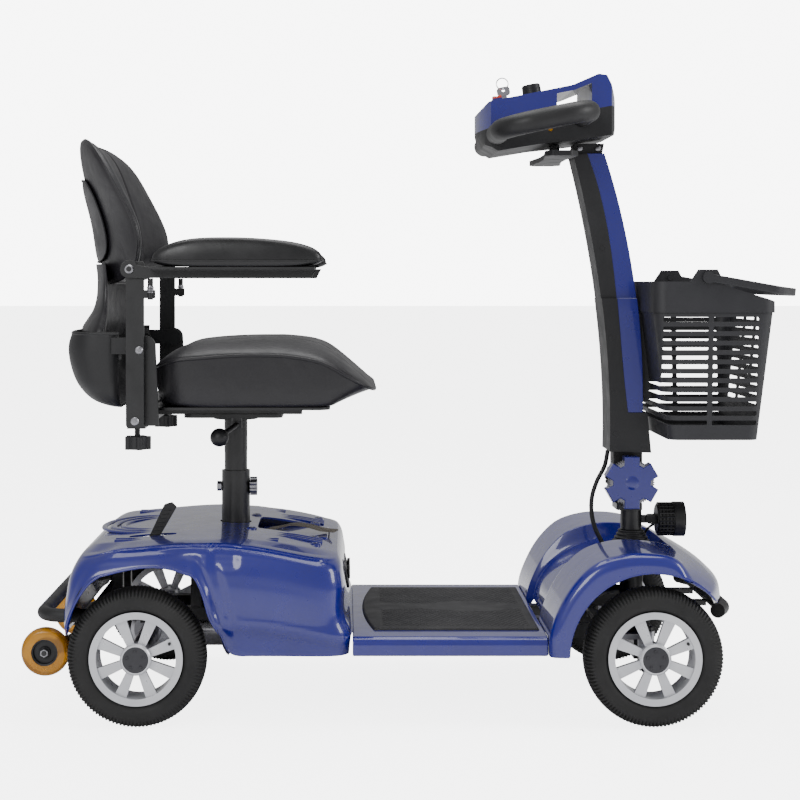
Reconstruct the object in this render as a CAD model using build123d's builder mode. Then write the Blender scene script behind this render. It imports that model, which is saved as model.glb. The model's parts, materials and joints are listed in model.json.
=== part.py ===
from build123d import *
import math
import os

# Mobility scooter, millimetres. +X is forward, +Y is the rider's left, +Z is up.
# The origin lies on the floor, midway between the foremost and rearmost points.

os.makedirs("parts", exist_ok=True)

# ---------------------------------------------------------------- driving dimensions
# running gear
wheelbase = 740
rear_axle_x = -400
track = 436
wheel_radius = 100
tyre_width = 54
rim_radius = 64
spoke_count = 8
hub_cap_radius = 22.5
kingpin_y = 165
steering_arm = 60
anti_tip_radius = 36
anti_tip_reach = 144
anti_tip_y = 150
bumper_half_width = 176
bumper_radius = 10
bumper_z = 150
freewheel_x = -396
freewheel_y = -128
freewheel_z = 240

# body panels
panel_wall = 3
body_half_width = 240
sill_half_width = 222
deck_half_width = 205
deck_height = 127
deck_depth = 27
deck_rear_x = -91
deck_front_x = 190
shroud_rear_x = -508
shroud_top = 257
cowl_top = 247
cowl_front_x = 474
channel_half_width = 88
channel_top = 222
arch_clearance = 22
mat_thickness = 3.5

# frame
rail_y = 50
rail_width = 20
rail_height = 20
rear_rail_z = 120

# seat
post_x = -272.5
post_radius = 22
post_inner_radius = 18
post_top = 344
post_base_z = 148
seat_plate_z = 430
pan_top = 454
cushion_half_width = 196
cushion_top = 555
cushion_front_x = -56
cushion_rear_x = -385
seat_drop = 50
backrest_pivot_x = -390
backrest_pivot_z = 545
backrest_half_width = 204
backrest_top = 853
backrest_bend_radius = 300
armrest_post_y = 225
armrest_pad_width = 50
armrest_pivot_x = -410.5
armrest_pivot_z = 656
armrest_front_x = -133.5

# steering column, tiller and controls
column_x = 345
column_radius = 12
tiller_pivot_x = 337.5
tiller_pivot_z = 329.5
tiller_half_width = 33
tiller_foot_half_width = 40
pod_half_width = 86
grip_radius = 16
grip_reach = 205
head_tube_radius = 18
lamp_z = 267
lamp_radius = 25

# basket
basket_half_width = 150
basket_rear_x = 356
basket_front_x = 534
basket_floor_z = 402
basket_wall = 3
slot_rows = 12
slot_pitch = 14
slot_height = 7

# fits between parts that move on each other, and gaps between bodies
running_gap = 0.05
body_gap = 0.3
loose_gap = 0.5

# ---------------------------------------------------------------- places worked out
front_axle_x = rear_axle_x + wheelbase
wheel_y = track / 2
sides = {"right": -1, "left": 1}


def facing_out(x, y, z, side):
    """Plane with local x forward and its normal pointing out to one side."""
    return Plane(origin=(x, y, z), x_dir=(1, 0, 0), z_dir=(0, side, 0))


def side_plane(y):
    """Plane with local x forward, local y up, and its normal along -Y."""
    return Plane(origin=(0, y, 0), x_dir=(1, 0, 0), z_dir=(0, -1, 0))


# ================================================================ wheels
tyre_half = tyre_width / 2
bead_half = tyre_half - 6
lip_radius = rim_radius + 3
lip_half = bead_half + 3.5
disc_face = 19
disc_thickness = 8
spoke_root = 11
spoke_tip = 17
barrel_wall = 7
hub_inner = -10
stub_radius = 6
stub_end = 12
axle_radius = 8
axle_inner_y = 45

for axle, axle_x in (("rear", rear_axle_x), ("front", front_axle_x)):
    for side_name, side in sides.items():
        centre = (axle_x, side * wheel_y, wheel_radius)
        spin = Axis(centre, (0, 1, 0))
        # Local x is the radius and local y is how far out from the tyre's middle.
        section = Plane(origin=centre, x_dir=(0, 0, 1), z_dir=(-side, 0, 0))
        face = facing_out(axle_x, side * wheel_y, wheel_radius, side)

        with BuildPart() as tyre:
            with BuildSketch(section) as tyre_section:
                with BuildLine():
                    Polyline(
                        (rim_radius, -bead_half),
                        (rim_radius + 12, -tyre_half),
                        (wheel_radius - 12, -tyre_half),
                        (wheel_radius, 8 - tyre_half),
                        (wheel_radius, tyre_half - 8),
                        (wheel_radius - 12, tyre_half),
                        (rim_radius + 12, tyre_half),
                        (rim_radius, bead_half),
                        close=True,
                    )
                make_face()
                round_corners = tyre_section.vertices().group_by(Axis.X)[1:]
                fillet([v for group in round_corners for v in group], 5)
            revolve(axis=spin)
        tyre.part.label = f"{axle}_tyre_{side_name}"
        export_step(tyre.part, f"parts/{axle}_tyre_{side_name}.step")

        with BuildPart() as rim:
            # barrel with a lip at each edge of the tyre
            with BuildSketch(section):
                with BuildLine():
                    Polyline(
                        (rim_radius - barrel_wall, -lip_half),
                        (lip_radius, -lip_half),
                        (lip_radius, -bead_half - 1.5),
                        (rim_radius, -bead_half),
                        (rim_radius, bead_half),
                        (lip_radius, bead_half + 1.5),
                        (lip_radius, lip_half),
                        (rim_radius - barrel_wall, lip_half),
                        close=True,
                    )
                make_face()
            revolve(axis=spin)
            # spokes, wider at the rim than at the hub
            for spoke in range(spoke_count):
                turn = math.radians((spoke + 0.5) * 360 / spoke_count)
                spoke_plane = Plane(
                    origin=face.offset(disc_face - disc_thickness).origin,
                    x_dir=(math.cos(turn), 0, math.sin(turn)),
                    z_dir=face.z_dir,
                )
                with BuildSketch(spoke_plane):
                    with BuildLine():
                        Polyline(
                            (hub_cap_radius - 6, -spoke_root / 2),
                            (rim_radius - barrel_wall + 2, -spoke_tip / 2),
                            (rim_radius - barrel_wall + 2, spoke_tip / 2),
                            (hub_cap_radius - 6, spoke_root / 2),
                            close=True,
                        )
                    make_face()
                extrude(amount=disc_thickness)
            # hub with its cap
            with BuildSketch(face.offset(hub_inner)):
                Circle(hub_cap_radius - 3)
            extrude(amount=disc_face - hub_inner)
            with BuildSketch(face.offset(disc_face)):
                Circle(hub_cap_radius)
            extrude(amount=tyre_half - disc_face + 2)
            chamfer(rim.faces().sort_by(Axis.Y)[-1 if side > 0 else 0].edges(), 2)
            if axle == "front":
                with BuildSketch(face.offset(hub_inner)):
                    Circle(stub_radius + running_gap)
                extrude(amount=stub_end - hub_inner + 1, mode=Mode.SUBTRACT)
            else:
                inward = wheel_y - axle_inner_y
                with BuildSketch(face.offset(-inward)):
                    Circle(axle_radius)
                extrude(amount=inward + hub_inner + 1)
        rim.part.label = f"{axle}_rim_{side_name}"
        export_step(rim.part, f"parts/{axle}_rim_{side_name}.step")

# ================================================================ rear frame and drive
rear_rail_top = rear_rail_z + rail_height
front_rail_z = deck_height - panel_wall - rail_height
front_rail_top = front_rail_z + rail_height
rear_frame_end = -492
axle_tube_radius = 16
post_plate_half = 36

with BuildPart() as rear_frame:
    # two rails that step down in front of the seat post to the deck's height
    for side in (-1, 1):
        with BuildSketch(side_plane(side * rail_y)):
            with BuildLine():
                Polyline(
                    (rear_frame_end, rear_rail_z),
                    (-236, rear_rail_z),
                    (-206, front_rail_z),
                    (deck_rear_x, front_rail_z),
                    (deck_rear_x, front_rail_top),
                    (-206, front_rail_top),
                    (-236, rear_rail_top),
                    (rear_frame_end, rear_rail_top),
                    close=True,
                )
            make_face()
        extrude(amount=rail_width / 2, both=True)
    # cross members behind, under the post, and along the front edge
    with BuildSketch(Plane.XY.offset(rear_rail_z)):
        with Locations((rear_frame_end + 10, 0)):
            Rectangle(20, 2 * bumper_half_width + 18)
    extrude(amount=rail_height)
    with BuildSketch(Plane.XY.offset(rear_rail_top - 8)):
        with Locations((-330, 0)):
            Rectangle(20, 2 * rail_y)
    extrude(amount=8)
    with BuildSketch(Plane.XY.offset(rear_rail_top)):
        with Locations((post_x, 0)):
            Rectangle(2 * post_plate_half, 2 * rail_y + rail_width)
    extrude(amount=post_base_z - rear_rail_top)
    with BuildSketch(Plane.XY.offset(front_rail_z)):
        with Locations((deck_rear_x - 14, 0)):
            Rectangle(16, 2 * deck_half_width - 30)
    extrude(amount=rail_height)
    # risers that carry the body shell
    with BuildSketch(Plane.XY.offset(rear_rail_top)):
        with Locations((-450, rail_y), (-450, -rail_y), (-330, rail_y), (-330, -rail_y)):
            Rectangle(16, 16)
    extrude(amount=shroud_top - panel_wall - rear_rail_top)
    # saddles down to the axle tubes
    with BuildSketch(Plane.XY.offset(wheel_radius + axle_tube_radius)):
        with Locations((rear_axle_x, rail_y), (rear_axle_x, -rail_y)):
            Rectangle(30, rail_width)
    extrude(amount=rear_rail_z - wheel_radius - axle_tube_radius)
rear_frame.part.label = "rear_frame"
export_step(rear_frame.part, "parts/rear_frame.step")

axle_tube_end = wheel_y + hub_inner - 6
gearbox_radius = 34
motor_radius = 30
with BuildPart() as transaxle:
    with BuildSketch(Plane.XZ):
        with Locations((rear_axle_x, wheel_radius)):
            Circle(gearbox_radius)
    extrude(amount=30, both=True)
    chamfer(transaxle.edges().filter_by(GeomType.CIRCLE), 6)
    with BuildSketch(Plane.XZ):
        with Locations((rear_axle_x, wheel_radius)):
            Circle(axle_tube_radius)
    extrude(amount=axle_tube_end, both=True)
    with BuildSketch(Plane(origin=(rear_axle_x + 20, 0, wheel_radius), z_dir=(1, 0, 0))):
        Circle(motor_radius)
    extrude(amount=96)
    chamfer(transaxle.faces().sort_by(Axis.X)[-1].edges(), 4)
    # the two wheel shafts turn in this bore
    with BuildSketch(Plane.XZ):
        with Locations((rear_axle_x, wheel_radius)):
            Circle(axle_radius + running_gap)
    extrude(amount=axle_tube_end, both=True, mode=Mode.SUBTRACT)
transaxle.part.label = "transaxle"
export_step(transaxle.part, "parts/transaxle.step")

# ================================================================ rear body shell
def panel_body(outline_points, half_width, wall, rounding):
    """Closed body of a moulded panel from its side outline, with both upper side edges rounded."""
    with BuildPart() as body:
        with BuildSketch(Plane.XZ):
            with BuildLine():
                Polyline(*outline_points, close=True)
            make_face()
            if wall:
                offset(amount=-wall, kind=Kind.INTERSECTION, mode=Mode.REPLACE)
        extrude(amount=half_width - wall, both=True)
        rim_edges = body.edges().filter_by(lambda e: abs(e.center().Y) > half_width - wall - 1)
        fillet(rim_edges.filter_by(lambda e: e.center().Z > 160), rounding - wall)
    return body.part


shroud_points = [
    (shroud_rear_x, 70),
    (shroud_rear_x - 3, 150),
    (shroud_rear_x + 2, 190),
    (-487, 250),
    (-478, shroud_top),
    (-190, shroud_top),
    (-124, 245),
    (-112, 236),
    (-99, 170),
    (deck_rear_x - 2, 136),
    (deck_rear_x - 2, 70),
]
sill_bottom = 100
arch_top = wheel_radius + 121
battery_rear_x = -234
battery_front_x = -128
battery_half_width = 62
battery_top = 247
panel_rounding = 15
shroud_form = panel_body(shroud_points, body_half_width, 0, panel_rounding)
shroud_hollow = panel_body(shroud_points, body_half_width, panel_wall, panel_rounding)
with BuildPart() as rear_shroud:
    add(shroud_form)
    add(shroud_hollow, mode=Mode.SUBTRACT)
    # open underside, stepped up behind the wheels
    with BuildSketch(Plane.XZ):
        with BuildLine():
            Polyline(
                (-600, 20),
                (-600, 128),
                (-440, 128),
                (-440, sill_bottom),
                (0, sill_bottom),
                (0, 20),
                close=True,
            )
        make_face()
    extrude(amount=body_half_width + 10, both=True, mode=Mode.SUBTRACT)
    # wheel arches with a flat crown and rounded corners
    with BuildSketch(Plane.XZ):
        with BuildLine():
            arch_crown = [(-466, arch_top), (-322, arch_top)]
            arch = FilletPolyline((-501, 60), (-500, 150), *arch_crown, (-276, 110), (-270, 60), radius=26)
            Line(arch @ 1, arch @ 0)
        make_face()
    extrude(amount=body_half_width + 10, both=True, mode=Mode.SUBTRACT)
    # hole for the seat post and the bay that the battery drops into
    with BuildSketch(Plane.XY.offset(shroud_top - 30)):
        with Locations((post_x, 0)):
            Circle(post_radius + 2)
        with Locations(((battery_rear_x + battery_front_x) / 2, 0)):
            RectangleRounded(
                battery_front_x - battery_rear_x + 3,
                2 * battery_half_width + 3,
                6,
            )
    extrude(amount=60, mode=Mode.SUBTRACT)
    # the front wall stops above the deck, where the rails pass under it
    with BuildSketch(Plane.XY.offset(20)):
        with Locations((deck_rear_x - 10, 0)):
            Rectangle(40, 2 * deck_half_width)
    extrude(amount=deck_height - 20, mode=Mode.SUBTRACT)
    # holes for the legs of the rear bumper and a slot for the freewheel lever
    with BuildSketch(Plane.YZ.offset(shroud_rear_x - 20)):
        with Locations((bumper_half_width, bumper_z), (-bumper_half_width, bumper_z)):
            Circle(bumper_radius + 1)
    extrude(amount=30, mode=Mode.SUBTRACT)
    with BuildSketch(Plane.XY.offset(shroud_top - 10)):
        with Locations((-388, freewheel_y)):
            SlotOverall(66, 20)
    extrude(amount=20, mode=Mode.SUBTRACT)
    # two cheeks under the slot hold the lever's pin
    for side in (-1, 1):
        with BuildSketch(side_plane(freewheel_y + side * 12.5)):
            with Locations((freewheel_x, (freewheel_z - 8 + shroud_top - panel_wall) / 2)):
                Rectangle(18, shroud_top - panel_wall - freewheel_z + 8)
            with Locations((freewheel_x, freewheel_z)):
                Circle(3 + running_gap, mode=Mode.SUBTRACT)
        extrude(amount=2, both=True)
    # long raised ribs on the deck lid
    with BuildSketch(Plane.XY.offset(shroud_top)):
        for side in (-1, 1):
            with Locations(*[(-395, side * y) for y in (72, 92, 112)]):
                SlotOverall(120, 8)
            with Locations(*[(-248, side * y) for y in (92, 112)]):
                SlotOverall(100, 8)
    extrude(amount=3)
    # pad beside the post
    with BuildSketch(Plane.XY.offset(shroud_top)):
        with Locations((post_x, -58), (post_x, 58)):
            RectangleRounded(46, 22, 6)
    extrude(amount=4, taper=30)
rear_shroud.part.label = "rear_shroud"
export_step(rear_shroud.part, "parts/rear_shroud.step")

with BuildPart() as battery_pack:
    with BuildSketch(Plane.XY.offset(front_rail_top)):
        with Locations(((battery_rear_x + battery_front_x) / 2, 0)):
            RectangleRounded(battery_front_x - battery_rear_x, 2 * battery_half_width, 5)
    extrude(amount=battery_top - front_rail_top)
    chamfer(battery_pack.faces().sort_by(Axis.Z)[-1].edges(), 2)
    # clear of the rails, which rise towards the post
    with BuildSketch(Plane.XZ):
        with BuildLine():
            Polyline(
                (-240, 90),
                (-240, rear_rail_top + 2),
                (-232, rear_rail_top + 2),
                (-200, front_rail_top),
                (-200, 90),
                close=True,
            )
        make_face()
    extrude(amount=battery_half_width + 5, both=True, mode=Mode.SUBTRACT)
battery_pack.part.label = "battery_pack"
export_step(battery_pack.part, "parts/battery_pack.step")

# webbing strap, flat on the pack and arched up for the hand
strap_width = 26
strap_thickness = 2.4
with BuildPart() as battery_strap:
    with BuildSketch(Plane.XZ):
        with BuildLine():
            under_points = [(-222, battery_top), (-182, battery_top + 8.6), (-140, battery_top)]
            top_points = [(x, z + strap_thickness) for x, z in under_points]
            strap_top = Spline(*top_points, tangents=((1, 0), (1, 0)))
            strap_under = Spline(*under_points, tangents=((1, 0), (1, 0)))
            Line(strap_top @ 0, strap_under @ 0)
            Line(strap_top @ 1, strap_under @ 1)
        make_face()
    extrude(amount=strap_width / 2, both=True)
battery_strap.part.label = "battery_strap"
export_step(battery_strap.part, "parts/battery_strap.step")

panel_half_width = 70
with BuildPart() as charge_panel:
    with BuildSketch(Plane(origin=(-99, 0, 170), x_dir=(0, 1, 0), z_dir=(66, 0, 13))):
        with Locations((0, 17)):
            RectangleRounded(2 * panel_half_width, 34, 8)
    extrude(amount=4)
charge_panel.part.label = "charge_panel"
export_step(charge_panel.part, "parts/charge_panel.step")

# ================================================================ deck and mat
with BuildPart() as deck_pan:
    with BuildSketch(Plane.XY.offset(deck_height - deck_depth)):
        with Locations(((deck_rear_x + deck_front_x) / 2, 0)):
            Rectangle(deck_front_x - deck_rear_x, 2 * sill_half_width)
    extrude(amount=deck_depth)
    fillet(deck_pan.edges().filter_by(Axis.X).group_by(Axis.Z)[-1], 12)
    with BuildSketch(Plane.XY.offset(deck_height - deck_depth)):
        with Locations(((deck_rear_x + deck_front_x) / 2, 0)):
            Rectangle(deck_front_x - deck_rear_x, 2 * (deck_half_width - 8))
    extrude(amount=deck_depth - panel_wall, mode=Mode.SUBTRACT)
deck_pan.part.label = "deck_pan"
export_step(deck_pan.part, "parts/deck_pan.step")

mat_half_width = 170
mat_rear_x = -75
mat_front_x = 183
with BuildPart() as floor_mat:
    with BuildSketch(Plane.XY.offset(deck_height)):
        with BuildLine():
            Line((mat_front_x, -mat_half_width), (mat_front_x, mat_half_width))
            Line((mat_front_x, mat_half_width), (mat_rear_x + 15, mat_half_width))
            ThreePointArc(
                (mat_rear_x + 15, mat_half_width),
                (mat_rear_x, 0),
                (mat_rear_x + 15, -mat_half_width),
            )
            Line((mat_rear_x + 15, -mat_half_width), (mat_front_x, -mat_half_width))
        make_face()
    extrude(amount=mat_thickness)
    # two sunk tread panels, with a waved band left between them
    with BuildSketch(Plane.XY.offset(deck_height + mat_thickness)):
        for side in (-1, 1):
            with BuildLine():
                wave = Spline(
                    (mat_rear_x + 26, side * 30),
                    (20, side * 22),
                    (90, side * 44),
                    (mat_front_x - 12, side * 20),
                )
                Polyline(
                    wave @ 0,
                    (mat_rear_x + 30, side * (mat_half_width - 14)),
                    (mat_front_x - 12, side * (mat_half_width - 14)),
                    wave @ 1,
                )
            make_face()
    extrude(amount=-1.2, mode=Mode.SUBTRACT)
floor_mat.part.label = "floor_mat"
export_step(floor_mat.part, "parts/floor_mat.step")

# ================================================================ front cowl
cowl_points = [
    (deck_front_x + 1, 60),
    (deck_front_x + 1, 132),
    (206, 170),
    (228, 206),
    (256, 232),
    (296, cowl_top),
    (346, cowl_top),
    (392, 237),
    (426, 222),
    (455, 202),
    (cowl_front_x, 180),
    (cowl_front_x, 148),
    (cowl_front_x - 24, 60),
]
nose_radius = 560
arch_radius = wheel_radius + arch_clearance
channel_front_x = 388


def channel_body(wall):
    """Sunk middle channel of the cowl, grown by the wall for the panel under it."""
    with BuildPart() as channel:
        with BuildSketch(Plane.XZ):
            with BuildLine():
                Polyline(
                    (deck_front_x - 20, 40),
                    (deck_front_x - 20, 300),
                    (channel_front_x, 300),
                    (channel_front_x, channel_top),
                    (300, channel_top),
                    (266, channel_top - 12),
                    (236, 190),
                    (209, 155),
                    (201, 126),
                    (201, 40),
                    close=True,
                )
            make_face()
            if wall:
                offset(amount=wall, kind=Kind.INTERSECTION, mode=Mode.REPLACE)
        extrude(amount=channel_half_width + wall, both=True)
    return channel.part


cowl_form = panel_body(cowl_points, body_half_width, 0, panel_rounding)
cowl_inner_form = panel_body(cowl_points, body_half_width, panel_wall, panel_rounding)
channel_form = channel_body(0)
channel_shell_form = channel_body(panel_wall)

with BuildPart() as cowl_hollow:
    add(cowl_inner_form)
    with BuildSketch(Plane.XY.offset(40)):
        with Locations((cowl_front_x - nose_radius, 0)):
            Circle(nose_radius - panel_wall)
    extrude(amount=240, mode=Mode.INTERSECT)
    add(channel_shell_form, mode=Mode.SUBTRACT)

with BuildPart() as front_cowl:
    add(cowl_form)
    with BuildSketch(Plane.XY.offset(40)):
        with Locations((cowl_front_x - nose_radius, 0)):
            Circle(nose_radius)
    extrude(amount=240, mode=Mode.INTERSECT)
    add(channel_form, mode=Mode.SUBTRACT)
    add(cowl_hollow.part, mode=Mode.SUBTRACT)
    # level underside: low at the deck, high in front of the wheels
    with BuildSketch(Plane.XZ):
        with BuildLine():
            Polyline((150, 30), (150, 100), (300, 100), (380, 166), (500, 166), (500, 30), close=True)
        make_face()
    extrude(amount=body_half_width + 10, both=True, mode=Mode.SUBTRACT)
    # wheel arches through both flanks
    with BuildSketch(Plane.XZ):
        with Locations((front_axle_x, wheel_radius)):
            Circle(arch_radius)
    extrude(amount=body_half_width + 10, both=True, mode=Mode.SUBTRACT)
    # the channel stops above the deck, where the rails pass under it
    with BuildSketch(Plane.XY.offset(20)):
        with Locations((deck_front_x + 20, 0)):
            Rectangle(40, 2 * channel_half_width + 2 * panel_wall)
    extrude(amount=deck_height - 20, mode=Mode.SUBTRACT)
    # hole under the steering boot
    with BuildSketch(Plane.XY.offset(channel_top - 10)):
        with Locations((column_x, 0)):
            Circle(head_tube_radius + 1)
    extrude(amount=20, mode=Mode.SUBTRACT)
front_cowl.part.label = "front_cowl"
export_step(front_cowl.part, "parts/front_cowl.step")

# ================================================================ front frame and steering
beam_z = 80
beam_height = 30
yoke_gap = 4
knuckle_radius = 12
knuckle_half = 26
kingpin_radius = 6
arm_z = 114
arm_thickness = 8
rod_z = arm_z + arm_thickness + 2
rod_thickness = 8
stud_radius = 4
arm_eye_radius = 9
head_tube_base_z = 142
yoke_plate = 6
yoke_top_z = wheel_radius + knuckle_half + body_gap

with BuildPart() as front_frame:
    # two rails under the deck, tied by cross bars that carry the pan
    for side in (-1, 1):
        with BuildSketch(side_plane(side * rail_y)):
            with Locations(((deck_rear_x + 232) / 2, front_rail_z + rail_height / 2)):
                Rectangle(232 - deck_rear_x, rail_height)
        extrude(amount=rail_width / 2, both=True)
        # gusset plate up to the neck, with a window that the tie rod crosses
        with BuildSketch(side_plane(side * rail_y)):
            with BuildLine():
                Polyline(
                    (212, front_rail_z),
                    (250, 92),
                    (362, 92),
                    (370, 150),
                    (300, 160),
                    (212, front_rail_top),
                    close=True,
                )
            make_face()
            with Locations((281, 128)):
                Rectangle(64, 26, mode=Mode.SUBTRACT)
        extrude(amount=3, both=True)
    with BuildSketch(Plane.XY.offset(front_rail_z + 8)):
        with Locations((-60, 0), (60, 0), (168, 0)):
            Rectangle(18, 2 * deck_half_width - 20)
    extrude(amount=rail_height - 8)
    # stays out to the front bumper
    with BuildSketch(Plane.XY.offset(head_tube_base_z)):
        with Locations((406, rail_y), (406, -rail_y)):
            Rectangle(90, 14)
    extrude(amount=8)
    # neck plate, head tube and the flange that the cowl and boot sit on
    with BuildSketch(Plane.XY.offset(head_tube_base_z)):
        with Locations((330, 0)):
            Rectangle(76, 2 * rail_y)
    extrude(amount=8)
    with BuildSketch(Plane.XY.offset(head_tube_base_z)):
        with Locations((column_x, 0)):
            Circle(head_tube_radius)
    extrude(amount=channel_top - 1 - head_tube_base_z)
    with BuildSketch(Plane.XY.offset(channel_top - panel_wall - 5)):
        with Locations((column_x, 0)):
            Circle(38)
    extrude(amount=5)
    # axle beam with a forked yoke at each end
    with BuildSketch(Plane.XY.offset(beam_z)):
        with Locations((front_axle_x, 0)):
            Rectangle(30, 2 * (kingpin_y - knuckle_radius - yoke_gap - 2))
    extrude(amount=beam_height)
    for side in (-1, 1):
        with BuildSketch(Plane.XY.offset(wheel_radius - knuckle_half - body_gap - yoke_plate)):
            with Locations((front_axle_x, side * (kingpin_y - knuckle_radius - yoke_gap))):
                Rectangle(20, 6)
        extrude(amount=2 * (knuckle_half + body_gap + yoke_plate))
        for z in (wheel_radius - knuckle_half - body_gap - yoke_plate, yoke_top_z):
            with BuildSketch(Plane.XY.offset(z)):
                with Locations((front_axle_x, side * (kingpin_y - 6))):
                    Rectangle(20, 26)
                with Locations((front_axle_x, side * kingpin_y)):
                    Circle(11)
            extrude(amount=yoke_plate)
        with BuildSketch(Plane.XY.offset(wheel_radius - knuckle_half - body_gap - yoke_plate - 3)):
            with Locations((front_axle_x, side * kingpin_y)):
                Circle(kingpin_radius)
        extrude(amount=2 * (knuckle_half + body_gap + yoke_plate + 3))
    # bore for the steering shaft
    with BuildSketch(Plane.XY.offset(head_tube_base_z - 1)):
        with Locations((column_x, 0)):
            Circle(column_radius + running_gap)
    extrude(amount=channel_top, mode=Mode.SUBTRACT)
front_frame.part.label = "front_frame"
export_step(front_frame.part, "parts/front_frame.step")

for side_name, side in sides.items():
    with BuildPart() as knuckle:
        with BuildSketch(Plane.XY.offset(wheel_radius - knuckle_half)):
            with Locations((front_axle_x, side * kingpin_y)):
                Circle(knuckle_radius)
        extrude(amount=2 * knuckle_half)
        # steering arm, straight back from the kingpin
        with BuildSketch(Plane.XY.offset(arm_z)):
            with Locations((front_axle_x - steering_arm / 2, side * kingpin_y)):
                Rectangle(steering_arm, 14)
            with Locations((front_axle_x - steering_arm, side * kingpin_y)):
                Circle(arm_eye_radius)
        extrude(amount=arm_thickness)
        # stub axle with a shoulder against the hub
        stub_start = facing_out(front_axle_x, side * kingpin_y, wheel_radius, side)
        with BuildSketch(stub_start.offset(knuckle_radius - 2)):
            Circle(stub_radius)
        extrude(amount=wheel_y + stub_end - kingpin_y - knuckle_radius + 2)
        with BuildSketch(stub_start.offset(knuckle_radius - 2)):
            Circle(10)
        extrude(amount=wheel_y + hub_inner - body_gap - kingpin_y - knuckle_radius + 2)
        with BuildSketch(Plane.XY.offset(wheel_radius - knuckle_half)):
            with Locations((front_axle_x, side * kingpin_y)):
                Circle(kingpin_radius + running_gap)
        extrude(amount=2 * knuckle_half, mode=Mode.SUBTRACT)
        eye_gap = running_gap if side_name == "left" else loose_gap
        with BuildSketch(Plane.XY.offset(arm_z)):
            with Locations((front_axle_x - steering_arm, side * kingpin_y)):
                Circle(stud_radius + eye_gap)
        extrude(amount=arm_thickness, mode=Mode.SUBTRACT)
    knuckle.part.label = f"knuckle_{side_name}"
    export_step(knuckle.part, f"parts/knuckle_{side_name}.step")

rod_x = front_axle_x - steering_arm
pitman_x = column_x - steering_arm
with BuildPart() as tie_rod:
    with BuildSketch(Plane.XY.offset(rod_z)):
        with Locations((rod_x, 0)):
            Rectangle(12, 2 * kingpin_y)
        with Locations((rod_x, kingpin_y), (rod_x, -kingpin_y), (pitman_x, 0)):
            Circle(arm_eye_radius)
    extrude(amount=rod_thickness)
    with BuildSketch(Plane.XY.offset(arm_z - 3)):
        with Locations((rod_x, kingpin_y), (rod_x, -kingpin_y), (pitman_x, 0)):
            Circle(stud_radius)
    extrude(amount=rod_z - arm_z + 3)
tie_rod.part.label = "tie_rod"
export_step(tie_rod.part, "parts/tie_rod.step")

boot_top = 251
ear_inner = 20
ear_outer = 28
ear_radius = 28
with BuildPart() as steering_column:
    with BuildSketch(Plane.XY.offset(arm_z)):
        with Locations((column_x, 0)):
            Circle(column_radius)
    extrude(amount=boot_top + 1 - arm_z)
    with BuildSketch(Plane.XY.offset(arm_z)):
        with Locations(((column_x + pitman_x) / 2, 0)):
            Rectangle(steering_arm, 14)
        with Locations((pitman_x, 0)):
            Circle(arm_eye_radius)
        with Locations((pitman_x, 0)):
            Circle(stud_radius + loose_gap, mode=Mode.SUBTRACT)
    extrude(amount=arm_thickness)
    with BuildSketch(Plane.XY.offset(boot_top + 1)):
        with Locations((column_x, 0)):
            Circle(16.5)
    extrude(amount=34)
    # fork base and the two toothed ears that clamp the tiller
    with BuildSketch(Plane.XY.offset(284)):
        with Locations((column_x - 6, 0)):
            RectangleRounded(40, 2 * ear_outer, 6)
    extrude(amount=10)
    for side in (-1, 1):
        ear_face = facing_out(tiller_pivot_x, 0, tiller_pivot_z, side).offset(ear_inner)
        with BuildSketch(ear_face):
            Circle(ear_radius)
            with PolarLocations(ear_radius - 1, 24):
                Rectangle(5, 4)
            with Locations((2, side * 28)):
                Rectangle(36, 30)
        extrude(amount=ear_outer - ear_inner)
    with BuildSketch(side_plane(-ear_outer - 1)):
        with Locations((tiller_pivot_x, tiller_pivot_z)):
            Circle(kingpin_radius + running_gap)
    extrude(amount=-2 * ear_outer - 2, mode=Mode.SUBTRACT)
    # lamp bracket with its pivot eye
    with BuildSketch(side_plane(0)):
        with Locations((366, lamp_z)):
            Rectangle(16, 12)
        with Locations((374, lamp_z)):
            Circle(7)
        with Locations((374, lamp_z)):
            Circle(3 + running_gap, mode=Mode.SUBTRACT)
    extrude(amount=4, both=True)
steering_column.part.label = "steering_column"
export_step(steering_column.part, "parts/steering_column.step")

with BuildPart() as steering_boot:
    with BuildSketch(Plane.XZ):
        with BuildLine():
            Polyline(
                (column_x + column_radius + body_gap, channel_top),
                (column_x + 36, channel_top),
                (column_x + 36, channel_top + 4),
                (column_x + 28, channel_top + 7),
                (column_x + 31, channel_top + 11),
                (column_x + 23, channel_top + 15),
                (column_x + 26, channel_top + 19),
                (column_x + 19, channel_top + 23),
                (column_x + 19, boot_top),
                (column_x + column_radius + body_gap, boot_top),
                close=True,
            )
        make_face()
    revolve(axis=Axis((column_x, 0, 0), (0, 0, 1)))
steering_boot.part.label = "steering_boot"
export_step(steering_boot.part, "parts/steering_boot.step")

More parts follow.
